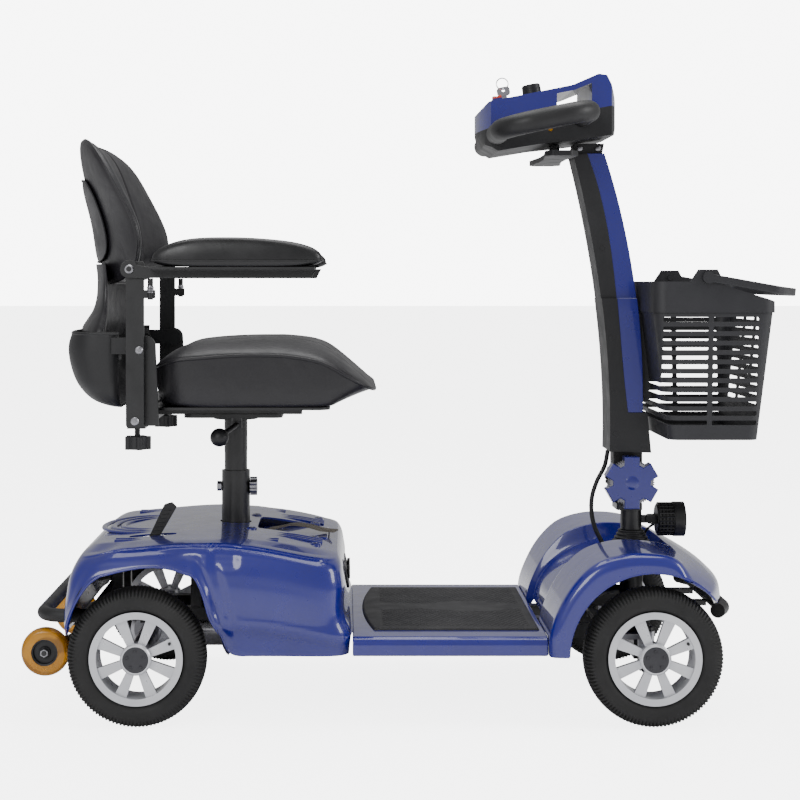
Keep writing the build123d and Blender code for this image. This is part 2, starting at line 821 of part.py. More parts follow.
lamp_pivot_x = 374
lamp_rear_x = 384
lamp_front_x = 427
with BuildPart() as headlight:
    with BuildSketch(Plane(origin=(lamp_rear_x, 0, lamp_z), z_dir=(1, 0, 0))):
        Circle(lamp_radius - 3)
    extrude(amount=lamp_front_x - lamp_rear_x - 2)
    # cooling fins behind, and the bezel in front
    for fin in range(5):
        with BuildSketch(Plane(origin=(lamp_rear_x + 2 + fin * 5.5, 0, lamp_z), z_dir=(1, 0, 0))):
            Circle(lamp_radius)
        extrude(amount=3)
    with BuildSketch(Plane(origin=(lamp_front_x - 17, 0, lamp_z), z_dir=(1, 0, 0))):
        Circle(lamp_radius + 2)
    extrude(amount=17)
    with BuildSketch(Plane(origin=(lamp_front_x - 3, 0, lamp_z), z_dir=(1, 0, 0))):
        Circle(lamp_radius - 3)
    extrude(amount=3, mode=Mode.SUBTRACT)
    # clevis cheeks and the pin they turn on
    for side in (-1, 1):
        with BuildSketch(side_plane(side * 6.5)):
            with Locations(((lamp_pivot_x + lamp_rear_x) / 2 + 1, lamp_z)):
                Rectangle(lamp_rear_x - lamp_pivot_x + 2, 14)
            with Locations((lamp_pivot_x, lamp_z)):
                Circle(7)
        extrude(amount=2.2, both=True)
    with BuildSketch(side_plane(0)):
        with Locations((lamp_pivot_x, lamp_z)):
            Circle(3)
    extrude(amount=9, both=True)
headlight.part.label = "headlight"
export_step(headlight.part, "parts/headlight.step")

# ================================================================ tiller
lug_half = ear_inner - body_gap
foot_top_z = 436
tiller_top_z = 836


def tiller_lines():
    """Rear edge, colour split and front edge of the tiller as three bent lines, from below upwards."""
    rear = [(306, 376), (299, 563), (288, 651), (251, 833)]
    split = [(334, foot_top_z), (317, 616), (305, 711), (272, 836)]
    front = [(357, foot_top_z), (343, 651), (332, 712), (299, tiller_top_z)]
    return rear, split, front


rear_line, split_line, front_line = tiller_lines()
with BuildPart() as tiller_rear:
    with BuildSketch(Plane.XZ):
        with BuildLine():
            back = Spline(*rear_line)
            seam = Spline(*split_line)
            Line(back @ 1, seam @ 1)
            Polyline(seam @ 0, (364, foot_top_z), (370, 374), back @ 0)
        make_face()
    extrude(amount=tiller_half_width, both=True)
    # the lower half and the foot are wider
    with BuildSketch(Plane.XZ):
        with BuildLine():
            back = Spline(*rear_line)
            seam = Spline(*split_line)
            Line(back @ 1, seam @ 1)
            Polyline(seam @ 0, (364, foot_top_z), (370, 374), back @ 0)
        make_face()
        with Locations((300, 462)):
            Rectangle(200, 300, mode=Mode.INTERSECT)
    extrude(amount=tiller_foot_half_width, both=True)
    # lug between the clamp ears
    with BuildSketch(Plane.XZ):
        with Locations((tiller_pivot_x, tiller_pivot_z)):
            Circle(ear_radius - 2)
        with Locations((tiller_pivot_x, (tiller_pivot_z + 376) / 2)):
            Rectangle(44, 376 - tiller_pivot_z)
    extrude(amount=lug_half, both=True)
    # bolted bracket under the head
    with BuildSketch(Plane.XZ):
        with BuildLine():
            Polyline((251, 833), (272, tiller_top_z), (297, tiller_top_z), (300, 852), (254, 852), close=True)
        make_face()
    extrude(amount=22, both=True)
    with BuildSketch(Plane.XZ):
        with Locations((264, 844), (290, 845)):
            Circle(3)
    extrude(amount=30, both=True, mode=Mode.SUBTRACT)
    with BuildSketch(Plane.XZ):
        with Locations((tiller_pivot_x, tiller_pivot_z)):
            Circle(kingpin_radius + running_gap)
    extrude(amount=30, both=True, mode=Mode.SUBTRACT)
tiller_rear.part.label = "tiller_rear"
export_step(tiller_rear.part, "parts/tiller_rear.step")

with BuildPart() as tiller_front:
    with BuildSketch(Plane.XZ):
        with BuildLine():
            seam = Spline(*split_line)
            nose = Spline(*front_line)
            Line(seam @ 0, nose @ 0)
            Line(seam @ 1, nose @ 1)
        make_face()
    extrude(amount=tiller_half_width - 1, both=True)
    with BuildSketch(Plane.XZ):
        with BuildLine():
            seam = Spline(*split_line)
            nose = Spline(*front_line)
            Line(seam @ 0, nose @ 0)
            Line(seam @ 1, nose @ 1)
        make_face()
        with Locations((300, 462)):
            Rectangle(200, 300, mode=Mode.INTERSECT)
    extrude(amount=tiller_foot_half_width - 1, both=True)
    fillet(tiller_front.faces().sort_by(Axis.X)[-1].edges().filter_by(Axis.Y, reverse=True), 5)
tiller_front.part.label = "tiller_front"
export_step(tiller_front.part, "parts/tiller_front.step")

knob_radius = 40
knob_thickness = 24
knob_y = -(ear_outer + body_gap)
with BuildPart() as star_knob:
    with BuildSketch(side_plane(knob_y)):
        with Locations((tiller_pivot_x, tiller_pivot_z)):
            Circle(15)
    extrude(amount=6)
    with BuildSketch(side_plane(knob_y - 6)):
        with Locations((tiller_pivot_x, tiller_pivot_z)):
            Circle(29)
            with PolarLocations(knob_radius / 2 + 4, 6, start_angle=30):
                Rectangle(knob_radius - 8, 23)
    extrude(amount=knob_thickness)
    chamfer(star_knob.faces().sort_by(Axis.Y)[0].edges(), 1)
    with BuildSketch(side_plane(knob_y)):
        with Locations((tiller_pivot_x, tiller_pivot_z)):
            Circle(kingpin_radius)
    extrude(amount=-2 * ear_outer - 10)
    # nut on the far end of the bolt
    with BuildSketch(side_plane(ear_outer + body_gap)):
        with Locations((tiller_pivot_x, tiller_pivot_z)):
            RegularPolygon(11, 6)
    extrude(amount=-9)
star_knob.part.label = "star_knob"
export_step(star_knob.part, "parts/star_knob.step")

# ================================================================ tiller head
head_base = 854
head_split_rear = (101, 868)
head_split_front = (317, 907)


def head_body(points):
    """Half of the head from its side outline, bowed at the front and back."""
    with BuildPart() as body:
        with BuildSketch(Plane.XZ):
            with BuildLine():
                Polyline(*points, close=True)
            make_face()
        extrude(amount=pod_half_width, both=True)
        with BuildSketch(Plane.XY.offset(800)):
            with BuildLine():
                front_bow = ThreePointArc((302, -pod_half_width), (317, 0), (302, pod_half_width))
                rear_bow = ThreePointArc((119, -pod_half_width), (101, 0), (119, pod_half_width))
                Line(front_bow @ 0, rear_bow @ 0)
                Line(front_bow @ 1, rear_bow @ 1)
            make_face()
        extrude(amount=200, mode=Mode.INTERSECT)
    return body.part


throttle_x = 225
lower_points = [(112, 846), (130, 836), (190, 846), (254, head_base - 1), (308, 861), (316, 880)]
upper_points = [(295, 951), (282, 953), (243, 936), (208, 929), (178, 923), (116, 911), (101, 896)]
lower_form = head_body([head_split_rear] + lower_points + [head_split_front])
upper_form = head_body([head_split_rear, head_split_front] + upper_points)
with BuildPart() as head_lower:
    add(lower_form)
    # seat for the bracket on top of the tiller
    with BuildSketch(Plane.XZ):
        with Locations((277, 840)):
            Rectangle(60, 24)
    extrude(amount=23, both=True, mode=Mode.SUBTRACT)
    with BuildSketch(Plane.XY.offset(830)):
        with Locations((throttle_x, 0)):
            Circle(8 + running_gap)
    extrude(amount=32, mode=Mode.SUBTRACT)
head_lower.part.label = "head_lower"
export_step(head_lower.part, "parts/head_lower.step")

dash_tilt = 10.6
dash = Plane(
    origin=(178, 0, 923),
    x_dir=(math.cos(math.radians(dash_tilt)), 0, math.sin(math.radians(dash_tilt))),
    z_dir=(-math.sin(math.radians(dash_tilt)), 0, math.cos(math.radians(dash_tilt))),
)
with BuildPart() as head_upper:
    add(upper_form)
    # hand hold through the raised front
    with BuildSketch(Plane.XZ):
        with BuildLine():
            Polyline((219, 904), (219, 923), (245, 928), (272, 939), (272, 904), close=True)
        make_face()
    extrude(amount=pod_half_width + 10, both=True, mode=Mode.SUBTRACT)
    # boss under the speed knob
    with BuildSketch(dash.offset(-3)):
        with Locations((14, 0)):
            Circle(21)
    extrude(amount=6, taper=25)
    # blind holes for the knob, the lock and the horn button
    with BuildSketch(dash.offset(-9)):
        with Locations((14, 0)):
            Circle(4 + running_gap)
        with Locations((-34, -40)):
            Circle(7 + running_gap)
        with Locations((-34, 40)):
            Circle(8 + loose_gap)
    extrude(amount=30, mode=Mode.SUBTRACT)
    # rocker switch housing
    with BuildSketch(dash.offset(-1)):
        with Locations((-48, -62)):
            RectangleRounded(16, 22, 2)
    extrude(amount=4)
head_upper.part.label = "head_upper"
export_step(head_upper.part, "parts/head_upper.step")

with BuildPart() as speed_knob:
    with BuildSketch(dash.offset(-8.5)):
        with Locations((14, 0)):
            Circle(4)
    extrude(amount=14)
    with BuildSketch(dash.offset(3.4)):
        with Locations((14, 0)):
            Circle(14.5)
    extrude(amount=15.5)
    with BuildSketch(dash.offset(18.9)):
        with Locations((14, 0)):
            Circle(13)
    extrude(amount=1.5)
    with BuildSketch(dash.offset(18)):
        with Locations((24, 0)):
            Rectangle(9, 2)
    extrude(amount=4, mode=Mode.SUBTRACT)
speed_knob.part.label = "speed_knob"
export_step(speed_knob.part, "parts/speed_knob.step")

with BuildPart() as key:
    with BuildSketch(dash.offset(-8.5)):
        with Locations((-34, -40)):
            Circle(7)
    extrude(amount=11)
    with BuildSketch(dash.offset(2)):
        with Locations((-34, -40)):
            Rectangle(8, 3)
    extrude(amount=8)
    key_head = Plane(origin=dash.from_local_coords((-34, -40, 14)), x_dir=dash.x_dir, z_dir=(0, -1, 0))
    with BuildSketch(key_head):
        RectangleRounded(20, 14, 5)
        with Locations((0, 2)):
            Circle(2.5, mode=Mode.SUBTRACT)
    extrude(amount=1.8, both=True)
key.part.label = "key"
export_step(key.part, "parts/key.step")

with BuildPart() as horn_button:
    with BuildSketch(dash.offset(-6)):
        with Locations((-34, 40)):
            Circle(8)
    extrude(amount=10)
    with BuildSketch(dash.offset(4)):
        with Locations((-34, 40)):
            Circle(6.5)
    extrude(amount=1)
horn_button.part.label = "horn_button"
export_step(horn_button.part, "parts/horn_button.step")

grip_front = (257, 888)
grip_rear = (128, 861)
for side_name, side in sides.items():
    with BuildPart() as handlebar:
        with BuildLine():
            loop = FilletPolyline(
                (grip_front[0], side * (pod_half_width - 1), grip_front[1]),
                (grip_front[0], side * grip_reach, grip_front[1]),
                (grip_rear[0], side * grip_reach, grip_rear[1]),
                (grip_rear[0], side * (pod_half_width - 1), grip_rear[1]),
                radius=46,
            )
        with BuildSketch(Plane(origin=loop @ 0, z_dir=loop % 0)):
            Circle(grip_radius)
        sweep()
        pod_side = Plane(origin=(0, side * (pod_half_width + 0.01), 0), z_dir=(0, side, 0))
        split(bisect_by=pod_side, keep=Keep.TOP)
    handlebar.part.label = f"handlebar_{side_name}"
    export_step(handlebar.part, f"parts/handlebar_{side_name}.step")

with BuildPart() as throttle_paddle:
    with BuildSketch(Plane.XY.offset(826)) as paddle:
        with BuildLine():
            right_paddle = [(205, -30), (198, -112), (206, -128), (236, -128), (248, -112), (240, -30)]
            left_paddle = [(x, -y) for x, y in reversed(right_paddle)]
            Polyline(*right_paddle, *left_paddle, close=True)
        make_face()
        fillet(paddle.vertices(), 6)
    extrude(amount=8)
    with BuildSketch(Plane.XY.offset(830)):
        with Locations((throttle_x, 0)):
            Circle(8)
    extrude(amount=31)
throttle_paddle.part.label = "throttle_paddle"
export_step(throttle_paddle.part, "parts/throttle_paddle.step")

# ================================================================ basket
rim_base_z = 590
rim_rear_z = 638
rim_front_z = 606
rim_overhang = 3
floor_inset = 18


def basket_block(shrink):
    """Outside of the basket's tub, tapering down to its floor; the shrink gives the inside."""
    rear = basket_rear_x + shrink
    front = basket_front_x - shrink
    half = basket_half_width - shrink
    with BuildPart() as block:
        with BuildSketch(Plane.XY.offset(basket_floor_z + shrink)):
            with Locations(((rear + front + 2) / 2 + 1, 0)):
                RectangleRounded(front - rear - 44, 2 * (half - floor_inset), 18)
        with BuildSketch(Plane.XY.offset(rim_base_z)):
            with Locations(((rear + front) / 2, 0)):
                RectangleRounded(front - rear, 2 * half, 20)
        loft()
        with BuildSketch(Plane.XY.offset(rim_base_z)):
            with Locations(((rear + front) / 2, 0)):
                RectangleRounded(front - rear, 2 * half, 20)
        extrude(amount=70)
    return block.part


basket_outside = basket_block(0)
basket_inside = basket_block(basket_wall)
slot_column_gap = 7
slot_first_x = 369
slot_length = 67
basket_pivot_x = 434
basket_pivot_z = 650
with BuildPart() as basket:
    add(basket_outside)
    # rim band
    with BuildSketch(Plane.XY.offset(rim_base_z + 2)):
        with Locations(((basket_rear_x + basket_front_x) / 2, 0)):
            RectangleRounded(
                basket_front_x - basket_rear_x + 2 * rim_overhang,
                2 * (basket_half_width + rim_overhang),
                22,
            )
    extrude(amount=68)
    # mounting block on the rear wall, against the tiller
    with BuildSketch(Plane.XZ):
        with BuildLine():
            Polyline((361.5, 452), (353.5, 588), (372, 588), (380, 452), close=True)
        make_face()
    extrude(amount=26, both=True)
    add(basket_inside, mode=Mode.SUBTRACT)
    # the mouth slopes down towards the front
    with BuildSketch(Plane.XZ):
        with BuildLine():
            Polyline(
                (300, rim_rear_z),
                (basket_pivot_x - 26, rim_rear_z),
                (basket_pivot_x - 14, basket_pivot_z + 6),
                (basket_pivot_x + 14, basket_pivot_z + 6),
                (basket_pivot_x + 26, rim_rear_z - 6),
                (basket_front_x + 10, rim_front_z),
                (basket_front_x + 10, 720),
                (300, 720),
                close=True,
            )
        make_face()
    extrude(amount=basket_half_width + 20, both=True, mode=Mode.SUBTRACT)
    # rows of slots through both side walls
    slot_rows_height = (slot_rows - 1) * slot_pitch
    slot_mid_z = rim_base_z - 8 - slot_rows_height / 2
    for column in range(2):
        with BuildSketch(Plane.XZ):
            column_start = slot_first_x + column * (slot_length + slot_column_gap)
            with Locations((column_start + slot_length / 2, slot_mid_z)):
                with GridLocations(slot_length, slot_pitch, 1, slot_rows):
                    RectangleRounded(slot_length, slot_height, 2)
        extrude(amount=basket_half_width + 20, both=True, mode=Mode.SUBTRACT)
    # and through the front wall
    with BuildSketch(Plane.YZ.offset(basket_front_x - 60)):
        with Locations((0, slot_mid_z + slot_pitch)):
            with GridLocations(70, slot_pitch, 3, slot_rows - 2):
                RectangleRounded(62, slot_height, 2)
    extrude(amount=100, mode=Mode.SUBTRACT)
    # pivot holes for the carrying handle
    with BuildSketch(Plane.XZ):
        with Locations((basket_pivot_x, basket_pivot_z - 6)):
            Circle(4 + running_gap)
    extrude(amount=basket_half_width + 20, both=True, mode=Mode.SUBTRACT)
basket.part.label = "basket"
export_step(basket.part, "parts/basket.step")

handle_outer_y = basket_half_width + rim_overhang
handle_y = handle_outer_y + body_gap + 3
handle_front_x = 577
handle_front_z = 622
with BuildPart() as basket_handle:
    with BuildLine():
        bail = FilletPolyline(
            (basket_pivot_x, -handle_y, basket_pivot_z - 6),
            (540, -handle_y, 625),
            (handle_front_x, -90, handle_front_z),
            (handle_front_x, 90, handle_front_z),
            (540, handle_y, 625),
            (basket_pivot_x, handle_y, basket_pivot_z - 6),
            radius=18,
        )
    with BuildSketch(Plane(origin=bail @ 0, x_dir=(0, 1, 0), z_dir=bail % 0)):
        RectangleRounded(6, 12, 2)
    sweep()
    for side in (-1, 1):
        pivot = facing_out(basket_pivot_x, 0, basket_pivot_z - 6, side)
        with BuildSketch(pivot.offset(handle_y - 3)):
            Circle(9)
        extrude(amount=6)
        with BuildSketch(pivot.offset(basket_half_width - basket_wall - 2)):
            Circle(4)
        extrude(amount=handle_y - basket_half_width + basket_wall + 2)
basket_handle.part.label = "basket_handle"
export_step(basket_handle.part, "parts/basket_handle.step")

# ================================================================ seat post
slot_half = seat_drop + 6
screw_z = 318.5
with BuildPart() as seat_post_outer:
    with BuildSketch(Plane.XY.offset(post_base_z)):
        with Locations((post_x, 0)):
            Circle(post_radius)
    extrude(amount=post_top - post_base_z)
    with BuildSketch(Plane.XY.offset(post_base_z)):
        with Locations((post_x, 0)):
            Circle(post_inner_radius + running_gap)
    extrude(amount=post_top - post_base_z, mode=Mode.SUBTRACT)
    # flange on the frame, split clamp slot, and the hole for the clamp screw
    with BuildSketch(Plane.XY.offset(post_base_z)):
        with Locations((post_x, 0)):
            Circle(post_radius + 12)
            Circle(post_radius - 2, mode=Mode.SUBTRACT)
    extrude(amount=6)
    with BuildSketch(Plane.XY.offset(screw_z - 36)):
        with Locations((post_x + post_radius, 0)):
            Rectangle(16, 4)
    extrude(amount=80, mode=Mode.SUBTRACT)
    with BuildSketch(Plane(origin=(post_x - 40, 0, screw_z), z_dir=(1, 0, 0))):
        Circle(4 + running_gap)
    extrude(amount=80, mode=Mode.SUBTRACT)
seat_post_outer.part.label = "seat_post_outer"
export_step(seat_post_outer.part, "parts/seat_post_outer.step")

lever_x = post_x + 4
lever_y = -42
inner_base_z = 210
flange_radius = 34
spigot_radius = 10
with BuildPart() as seat_post_inner:
    with BuildSketch(Plane.XY.offset(inner_base_z)):
        with Locations((post_x, 0)):
            Circle(post_inner_radius)
            Circle(post_inner_radius - 3, mode=Mode.SUBTRACT)
    extrude(amount=seat_plate_z - 6 - inner_base_z)
    with BuildSketch(Plane.XY.offset(seat_plate_z - 6)):
        with Locations((post_x, 0)):
            Circle(flange_radius)
            Circle(spigot_radius + running_gap, mode=Mode.SUBTRACT)
    extrude(amount=6)
    # tab with a pin for the swivel lever
    with BuildSketch(Plane.XY.offset(seat_plate_z - 6)):
        with Locations((lever_x, lever_y)):
            Circle(8)
        with Locations((lever_x, -flange_radius)):
            Rectangle(12, 16)
    extrude(amount=6)
    with BuildSketch(Plane.XY.offset(seat_plate_z - 19)):
        with Locations((lever_x, lever_y)):
            Circle(3)
    extrude(amount=13)
    # long slot that the clamp screw passes through at every height
    with BuildSketch(Plane(origin=(post_x - 40, 0, screw_z), x_dir=(0, 1, 0), z_dir=(1, 0, 0))):
        SlotOverall(2 * slot_half, 9, rotation=90)
    extrude(amount=80, mode=Mode.SUBTRACT)
seat_post_inner.part.label = "seat_post_inner"
export_step(seat_post_inner.part, "parts/seat_post_inner.step")

with BuildPart() as clamp_screw:
    with BuildSketch(Plane(origin=(post_x - post_radius - body_gap - 7, 0, screw_z), z_dir=(1, 0, 0))):
        RegularPolygon(8, 6)
    extrude(amount=7)
    with BuildSketch(Plane(origin=(post_x - post_radius - 1, 0, screw_z), z_dir=(1, 0, 0))):
        Circle(4)
    extrude(amount=2 * post_radius + 2)
    with BuildSketch(Plane(origin=(post_x + post_radius + body_gap, 0, screw_z), z_dir=(1, 0, 0))):
        Circle(11)
        with PolarLocations(11, 6):
            Circle(3.5)
    extrude(amount=11)
clamp_screw.part.label = "clamp_screw"
export_step(clamp_screw.part, "parts/clamp_screw.step")

# ================================================================ seat
socket_x = -403
socket_outer = 26
arm_bar = 18
socket_bore = arm_bar + 0.6
arm_knob_y = 196
socket_base_z = 426
socket_half = 214
bracket_inner_y = backrest_half_width + 4
with BuildPart() as seat_base:
    # swivel plate with its spigot
    with BuildSketch(Plane.XY.offset(seat_plate_z + body_gap)):
        with Locations((post_x, 0)):
            RectangleRounded(150, 150, 12)
    extrude(amount=6)
    with BuildSketch(Plane.XY.offset(seat_plate_z - 14)):
        with Locations((post_x, 0)):
            Circle(spigot_radius)
    extrude(amount=20)
    # spacer rails and the pan under the cushion
    with BuildSketch(Plane.XY.offset(seat_plate_z + 6)):
        with Locations((post_x - 10, -60), (post_x - 10, 60)):
            Rectangle(230, 24)
    extrude(amount=pan_top - 4 - seat_plate_z - 6)
    with BuildSketch(Plane.XY.offset(pan_top - 4)):
        with Locations(((cushion_rear_x - 124) / 2, 0)):
            RectangleRounded(-124 - cushion_rear_x, 360, 20)
        with Locations((socket_x, 0)):
            Rectangle(socket_outer, 2 * bracket_inner_y)
    extrude(amount=4)
    # square socket for the armrest bars
    with BuildSketch(Plane.XZ):
        with Locations((socket_x, socket_base_z + 12)):
            Rectangle(socket_outer, 24)
    extrude(amount=socket_half, both=True)
    with BuildSketch(Plane.XZ):
        with Locations((socket_x, socket_base_z + 12)):
            Rectangle(socket_bore, socket_bore)
    extrude(amount=socket_half, both=True, mode=Mode.SUBTRACT)
    # ears beside the backrest
    for side in (-1, 1):
        with BuildSketch(side_plane(side * (bracket_inner_y + 2.5))):
            with BuildLine():
                Polyline(
                    (socket_x - 13, socket_base_z + 4),
                    (socket_x + 33, socket_base_z + 4),
                    (backrest_pivot_x + 15, backrest_pivot_z),
                    (backrest_pivot_x - 15, backrest_pivot_z),
                    close=True,
                )
            make_face()
            with Locations((backrest_pivot_x, backrest_pivot_z)):
                Circle(15)
                Circle(5 + running_gap, mode=Mode.SUBTRACT)
            with Locations((socket_x, socket_base_z + 12)):
                Rectangle(socket_bore, socket_bore, mode=Mode.SUBTRACT)
        extrude(amount=2.5, both=True)
    # holes for the studs of the armrest knobs
    with BuildSketch(Plane.XY.offset(socket_base_z - 1)):
        with Locations((socket_x, arm_knob_y), (socket_x, -arm_knob_y)):
            Circle(4 + running_gap)
    extrude(amount=5, mode=Mode.SUBTRACT)
seat_base.part.label = "seat_base"
export_step(seat_base.part, "parts/seat_base.step")

with BuildPart() as seat_cushion:
    with BuildSketch(Plane.XZ):
        with BuildLine():
            Polyline(
                (cushion_rear_x, pan_top + 20),
                (cushion_rear_x + 16, cushion_top - 18),
                (cushion_rear_x + 55, cushion_top - 4),
                (-250, cushion_top),
                (-150, cushion_top - 2),
                (-104, cushion_top - 20),
                (cushion_front_x - 16, cushion_top - 54),
                (cushion_front_x, cushion_top - 84),
                (cushion_front_x - 8, pan_top + 4),
                (cushion_front_x - 60, pan_top),
                (cushion_rear_x + 12, pan_top),
                close=True,
            )
        make_face()
    extrude(amount=cushion_half_width, both=True)
    side_edges = seat_cushion.edges().filter_by(lambda e: abs(e.center().Y) > cushion_half_width - 1)
    fillet(side_edges.filter_by(lambda e: e.center().Z > pan_top + 30), 14)
    with BuildSketch(Plane.XY.offset(pan_top - 10)):
        with Locations(((cushion_rear_x + cushion_front_x) / 2, 0)):
            RectangleRounded(cushion_front_x - cushion_rear_x, 2 * cushion_half_width, 60)
    extrude(amount=140, mode=Mode.INTERSECT)
seat_cushion.part.label = "seat_cushion"
export_step(seat_cushion.part, "parts/seat_cushion.step")

shell_thickness = 12
cushion_thickness = 30
pad_base_z = 634


def back_layer(start, thickness):
    """Curved layer of the backrest, from a distance behind its pad to a thickness further on."""
    with BuildPart() as layer:
        for height, rear_x in ((pad_base_z, -480), (714, -487), (790, -506), (backrest_top + 10, -522)):
            with BuildSketch(Plane.XY.offset(height)):
                half = backrest_half_width
                bulge = half**2 / (2 * backrest_bend_radius)
                with BuildLine():
                    back = ThreePointArc(
                        (rear_x + start + bulge, -half), (rear_x + start, 0), (rear_x + start + bulge, half)
                    )
                    face_arc = ThreePointArc(
                        (rear_x + start + thickness + bulge, -half),
                        (rear_x + start + thickness, 0),
                        (rear_x + start + thickness + bulge, half),
                    )
                    Line(back @ 0, face_arc @ 0)
                    Line(back @ 1, face_arc @ 1)
                make_face()
        loft()
        # rounded outline seen from the front
        with BuildSketch(Plane.YZ.offset(-560)):
            with BuildLine():
                FilletPolyline(
                    (-half, pad_base_z),
                    (half, pad_base_z),
                    (half, backrest_top),
                    (-half, backrest_top),
                    close=True,
                    radius=60,
                )
            make_face()
        extrude(amount=260, mode=Mode.INTERSECT)
    return layer.part


shell_layer = back_layer(0, shell_thickness)
with BuildPart() as backrest_shell:
    add(shell_layer)
    # neck down to the bucket
    with BuildSketch(Plane.YZ.offset(-484)):
        with Locations((0, 600)):
            RectangleRounded(300, 150, 20)
    extrude(amount=14)
    # bucket that wraps the rear of the seat, open in front
    with BuildSketch(Plane.XZ):
        with BuildLine():
            FilletPolyline(
                (-426, 454),
                (-470, 454),
                (-504, 490),
                (-513, 530),
                (-500, 560),
                (-470, 562),
                (-426, 549),
                close=True,
                radius=10,
            )
        make_face()
    extrude(amount=backrest_half_width - 5, both=True)
    with BuildSketch(Plane.XZ):
        with BuildLine():
            Polyline((-400, 461), (-466, 461), (-496, 492), (-505, 530), (-494, 552), (-400, 541), close=True)
        make_face()
    extrude(amount=backrest_half_width - 12, both=True, mode=Mode.SUBTRACT)
    # side arms and the pins they fold on
    for side in (-1, 1):
        ear = facing_out(backrest_pivot_x, 0, backrest_pivot_z, side)
        with BuildSketch(ear.offset(backrest_half_width - 5)):
            Circle(13)
            with Locations((-25, 0)):
                Rectangle(50, 24)
        extrude(amount=5)
        with BuildSketch(ear.offset(backrest_half_width - 1)):
            Circle(5)
        extrude(amount=10)
backrest_shell.part.label = "backrest_shell"
export_step(backrest_shell.part, "parts/backrest_shell.step")

pad_layer = back_layer(shell_thickness + body_gap, cushion_thickness)
with BuildPart() as backrest_cushion:
    add(pad_layer)
backrest_cushion.part.label = "backrest_cushion"
export_step(backrest_cushion.part, "parts/backrest_cushion.step")

lever_ball = (post_x - 18, -108, 404)
with BuildPart() as swivel_lever:
    with BuildLine():
        lever_path = Line((lever_x, lever_y - 6, seat_plate_z - 12), lever_ball)
    with BuildSketch(Plane(origin=lever_path @ 0, z_dir=lever_path % 0)):
        Circle(4)
    sweep()
    with Locations(lever_ball):
        Sphere(14)
    with BuildSketch(Plane.XY.offset(seat_plate_z - 18)):
        with Locations((lever_x, lever_y)):
            Circle(8)
    extrude(amount=12 - body_gap)
    with BuildSketch(Plane.XY.offset(seat_plate_z - 30)):
        with Locations((lever_x, lever_y)):
            Circle(3 + running_gap)
    extrude(amount=30, mode=Mode.SUBTRACT)
swivel_lever.part.label = "swivel_lever"
export_step(swivel_lever.part, "parts/swivel_lever.step")

# ================================================================ armrests
post_half = 3
rail_inner_y = armrest_post_y + post_half + body_gap
for side_name, side in sides.items():
    with BuildPart() as armrest_post:
        with BuildSketch(side_plane(side * armrest_post_y)):
            with Locations((socket_x, (armrest_pivot_z + 11 + socket_base_z + 3) / 2)):
                RectangleRounded(26, armrest_pivot_z + 11 - socket_base_z - 3, 4)
            with Locations((-386, 620)):
                Rectangle(24, 12)
        extrude(amount=post_half, both=True)
        # bar that slides in the seat's socket
        bar_start = facing_out(socket_x, side * 90, socket_base_z + 12, side)
        with BuildSketch(bar_start):
            Rectangle(arm_bar, arm_bar)
        extrude(amount=armrest_post_y - 90)
        # stop screw under the rail and the pin the rail turns on
        with BuildSketch(Plane.XY.offset(612)):
            with Locations((-380.6, side * (armrest_post_y + 3))):
                Circle(4)
        extrude(amount=armrest_pivot_z - 13 - body_gap - 612)
        pin = facing_out(armrest_pivot_x, side * armrest_post_y, armrest_pivot_z, side)
        with BuildSketch(pin):
            Circle(4)
        extrude(amount=12)
    armrest_post.part.label = f"armrest_post_{side_name}"
    export_step(armrest_post.part, f"parts/armrest_post_{side_name}.step")

    with BuildPart() as armrest_rail:
        with BuildSketch(side_plane(side * (rail_inner_y + 2.5))):
            with Locations((armrest_pivot_x, armrest_pivot_z)):
                Circle(13)
            with BuildLine():
                Polyline(
                    (armrest_pivot_x, armrest_pivot_z + 9),
                    (armrest_pivot_x, armrest_pivot_z - 13),
                    (-150, armrest_pivot_z - 13),
                    (-142, armrest_pivot_z + 3),
                    (-385, armrest_pivot_z + 3),
                    close=True,
                )
            make_face()
            with Locations((armrest_pivot_x, armrest_pivot_z)):
                Circle(4 + running_gap, mode=Mode.SUBTRACT)
        extrude(amount=2.5, both=True)
        with BuildSketch(Plane.XY.offset(armrest_pivot_z - 1)):
            with Locations((-263, side * (rail_inner_y + 20))):
                Rectangle(236, 40)
        extrude(amount=4)
    armrest_rail.part.label = f"armrest_rail_{side_name}"
    export_step(armrest_rail.part, f"parts/armrest_rail_{side_name}.step")

    pad_rear_x = armrest_front_x - 243
    pad_base = armrest_pivot_z + 3
    with BuildPart() as armrest_pad:
        with BuildSketch(side_plane(side * (armrest_post_y + armrest_pad_width / 2 - 1))):
            with BuildLine():
                crown = ThreePointArc((pad_rear_x, 674), (-262, 701), (armrest_front_x, 672))
                Polyline(crown @ 1, (armrest_front_x - 6, pad_base), (pad_rear_x + 4, pad_base), crown @ 0)
            make_face()
        extrude(amount=armrest_pad_width / 2, both=True)
        fillet(armrest_pad.faces().sort_by(Axis.Z)[-1].edges(), 7)
    armrest_pad.part.label = f"armrest_pad_{side_name}"
    export_step(armrest_pad.part, f"parts/armrest_pad_{side_name}.step")

    with BuildPart() as armrest_knob:
        with BuildSketch(Plane.XY.offset(socket_base_z - 31)):
            with Locations((socket_x, side * arm_knob_y)):
                Circle(15)
                with PolarLocations(15, 5):
                    Circle(4.8)
        extrude(amount=19)
        with BuildSketch(Plane.XY.offset(socket_base_z - 12)):
            with Locations((socket_x, side * arm_knob_y)):
                Circle(4)
        extrude(amount=14.4)
    armrest_knob.part.label = f"armrest_knob_{side_name}"
    export_step(armrest_knob.part, f"parts/armrest_knob_{side_name}.step")

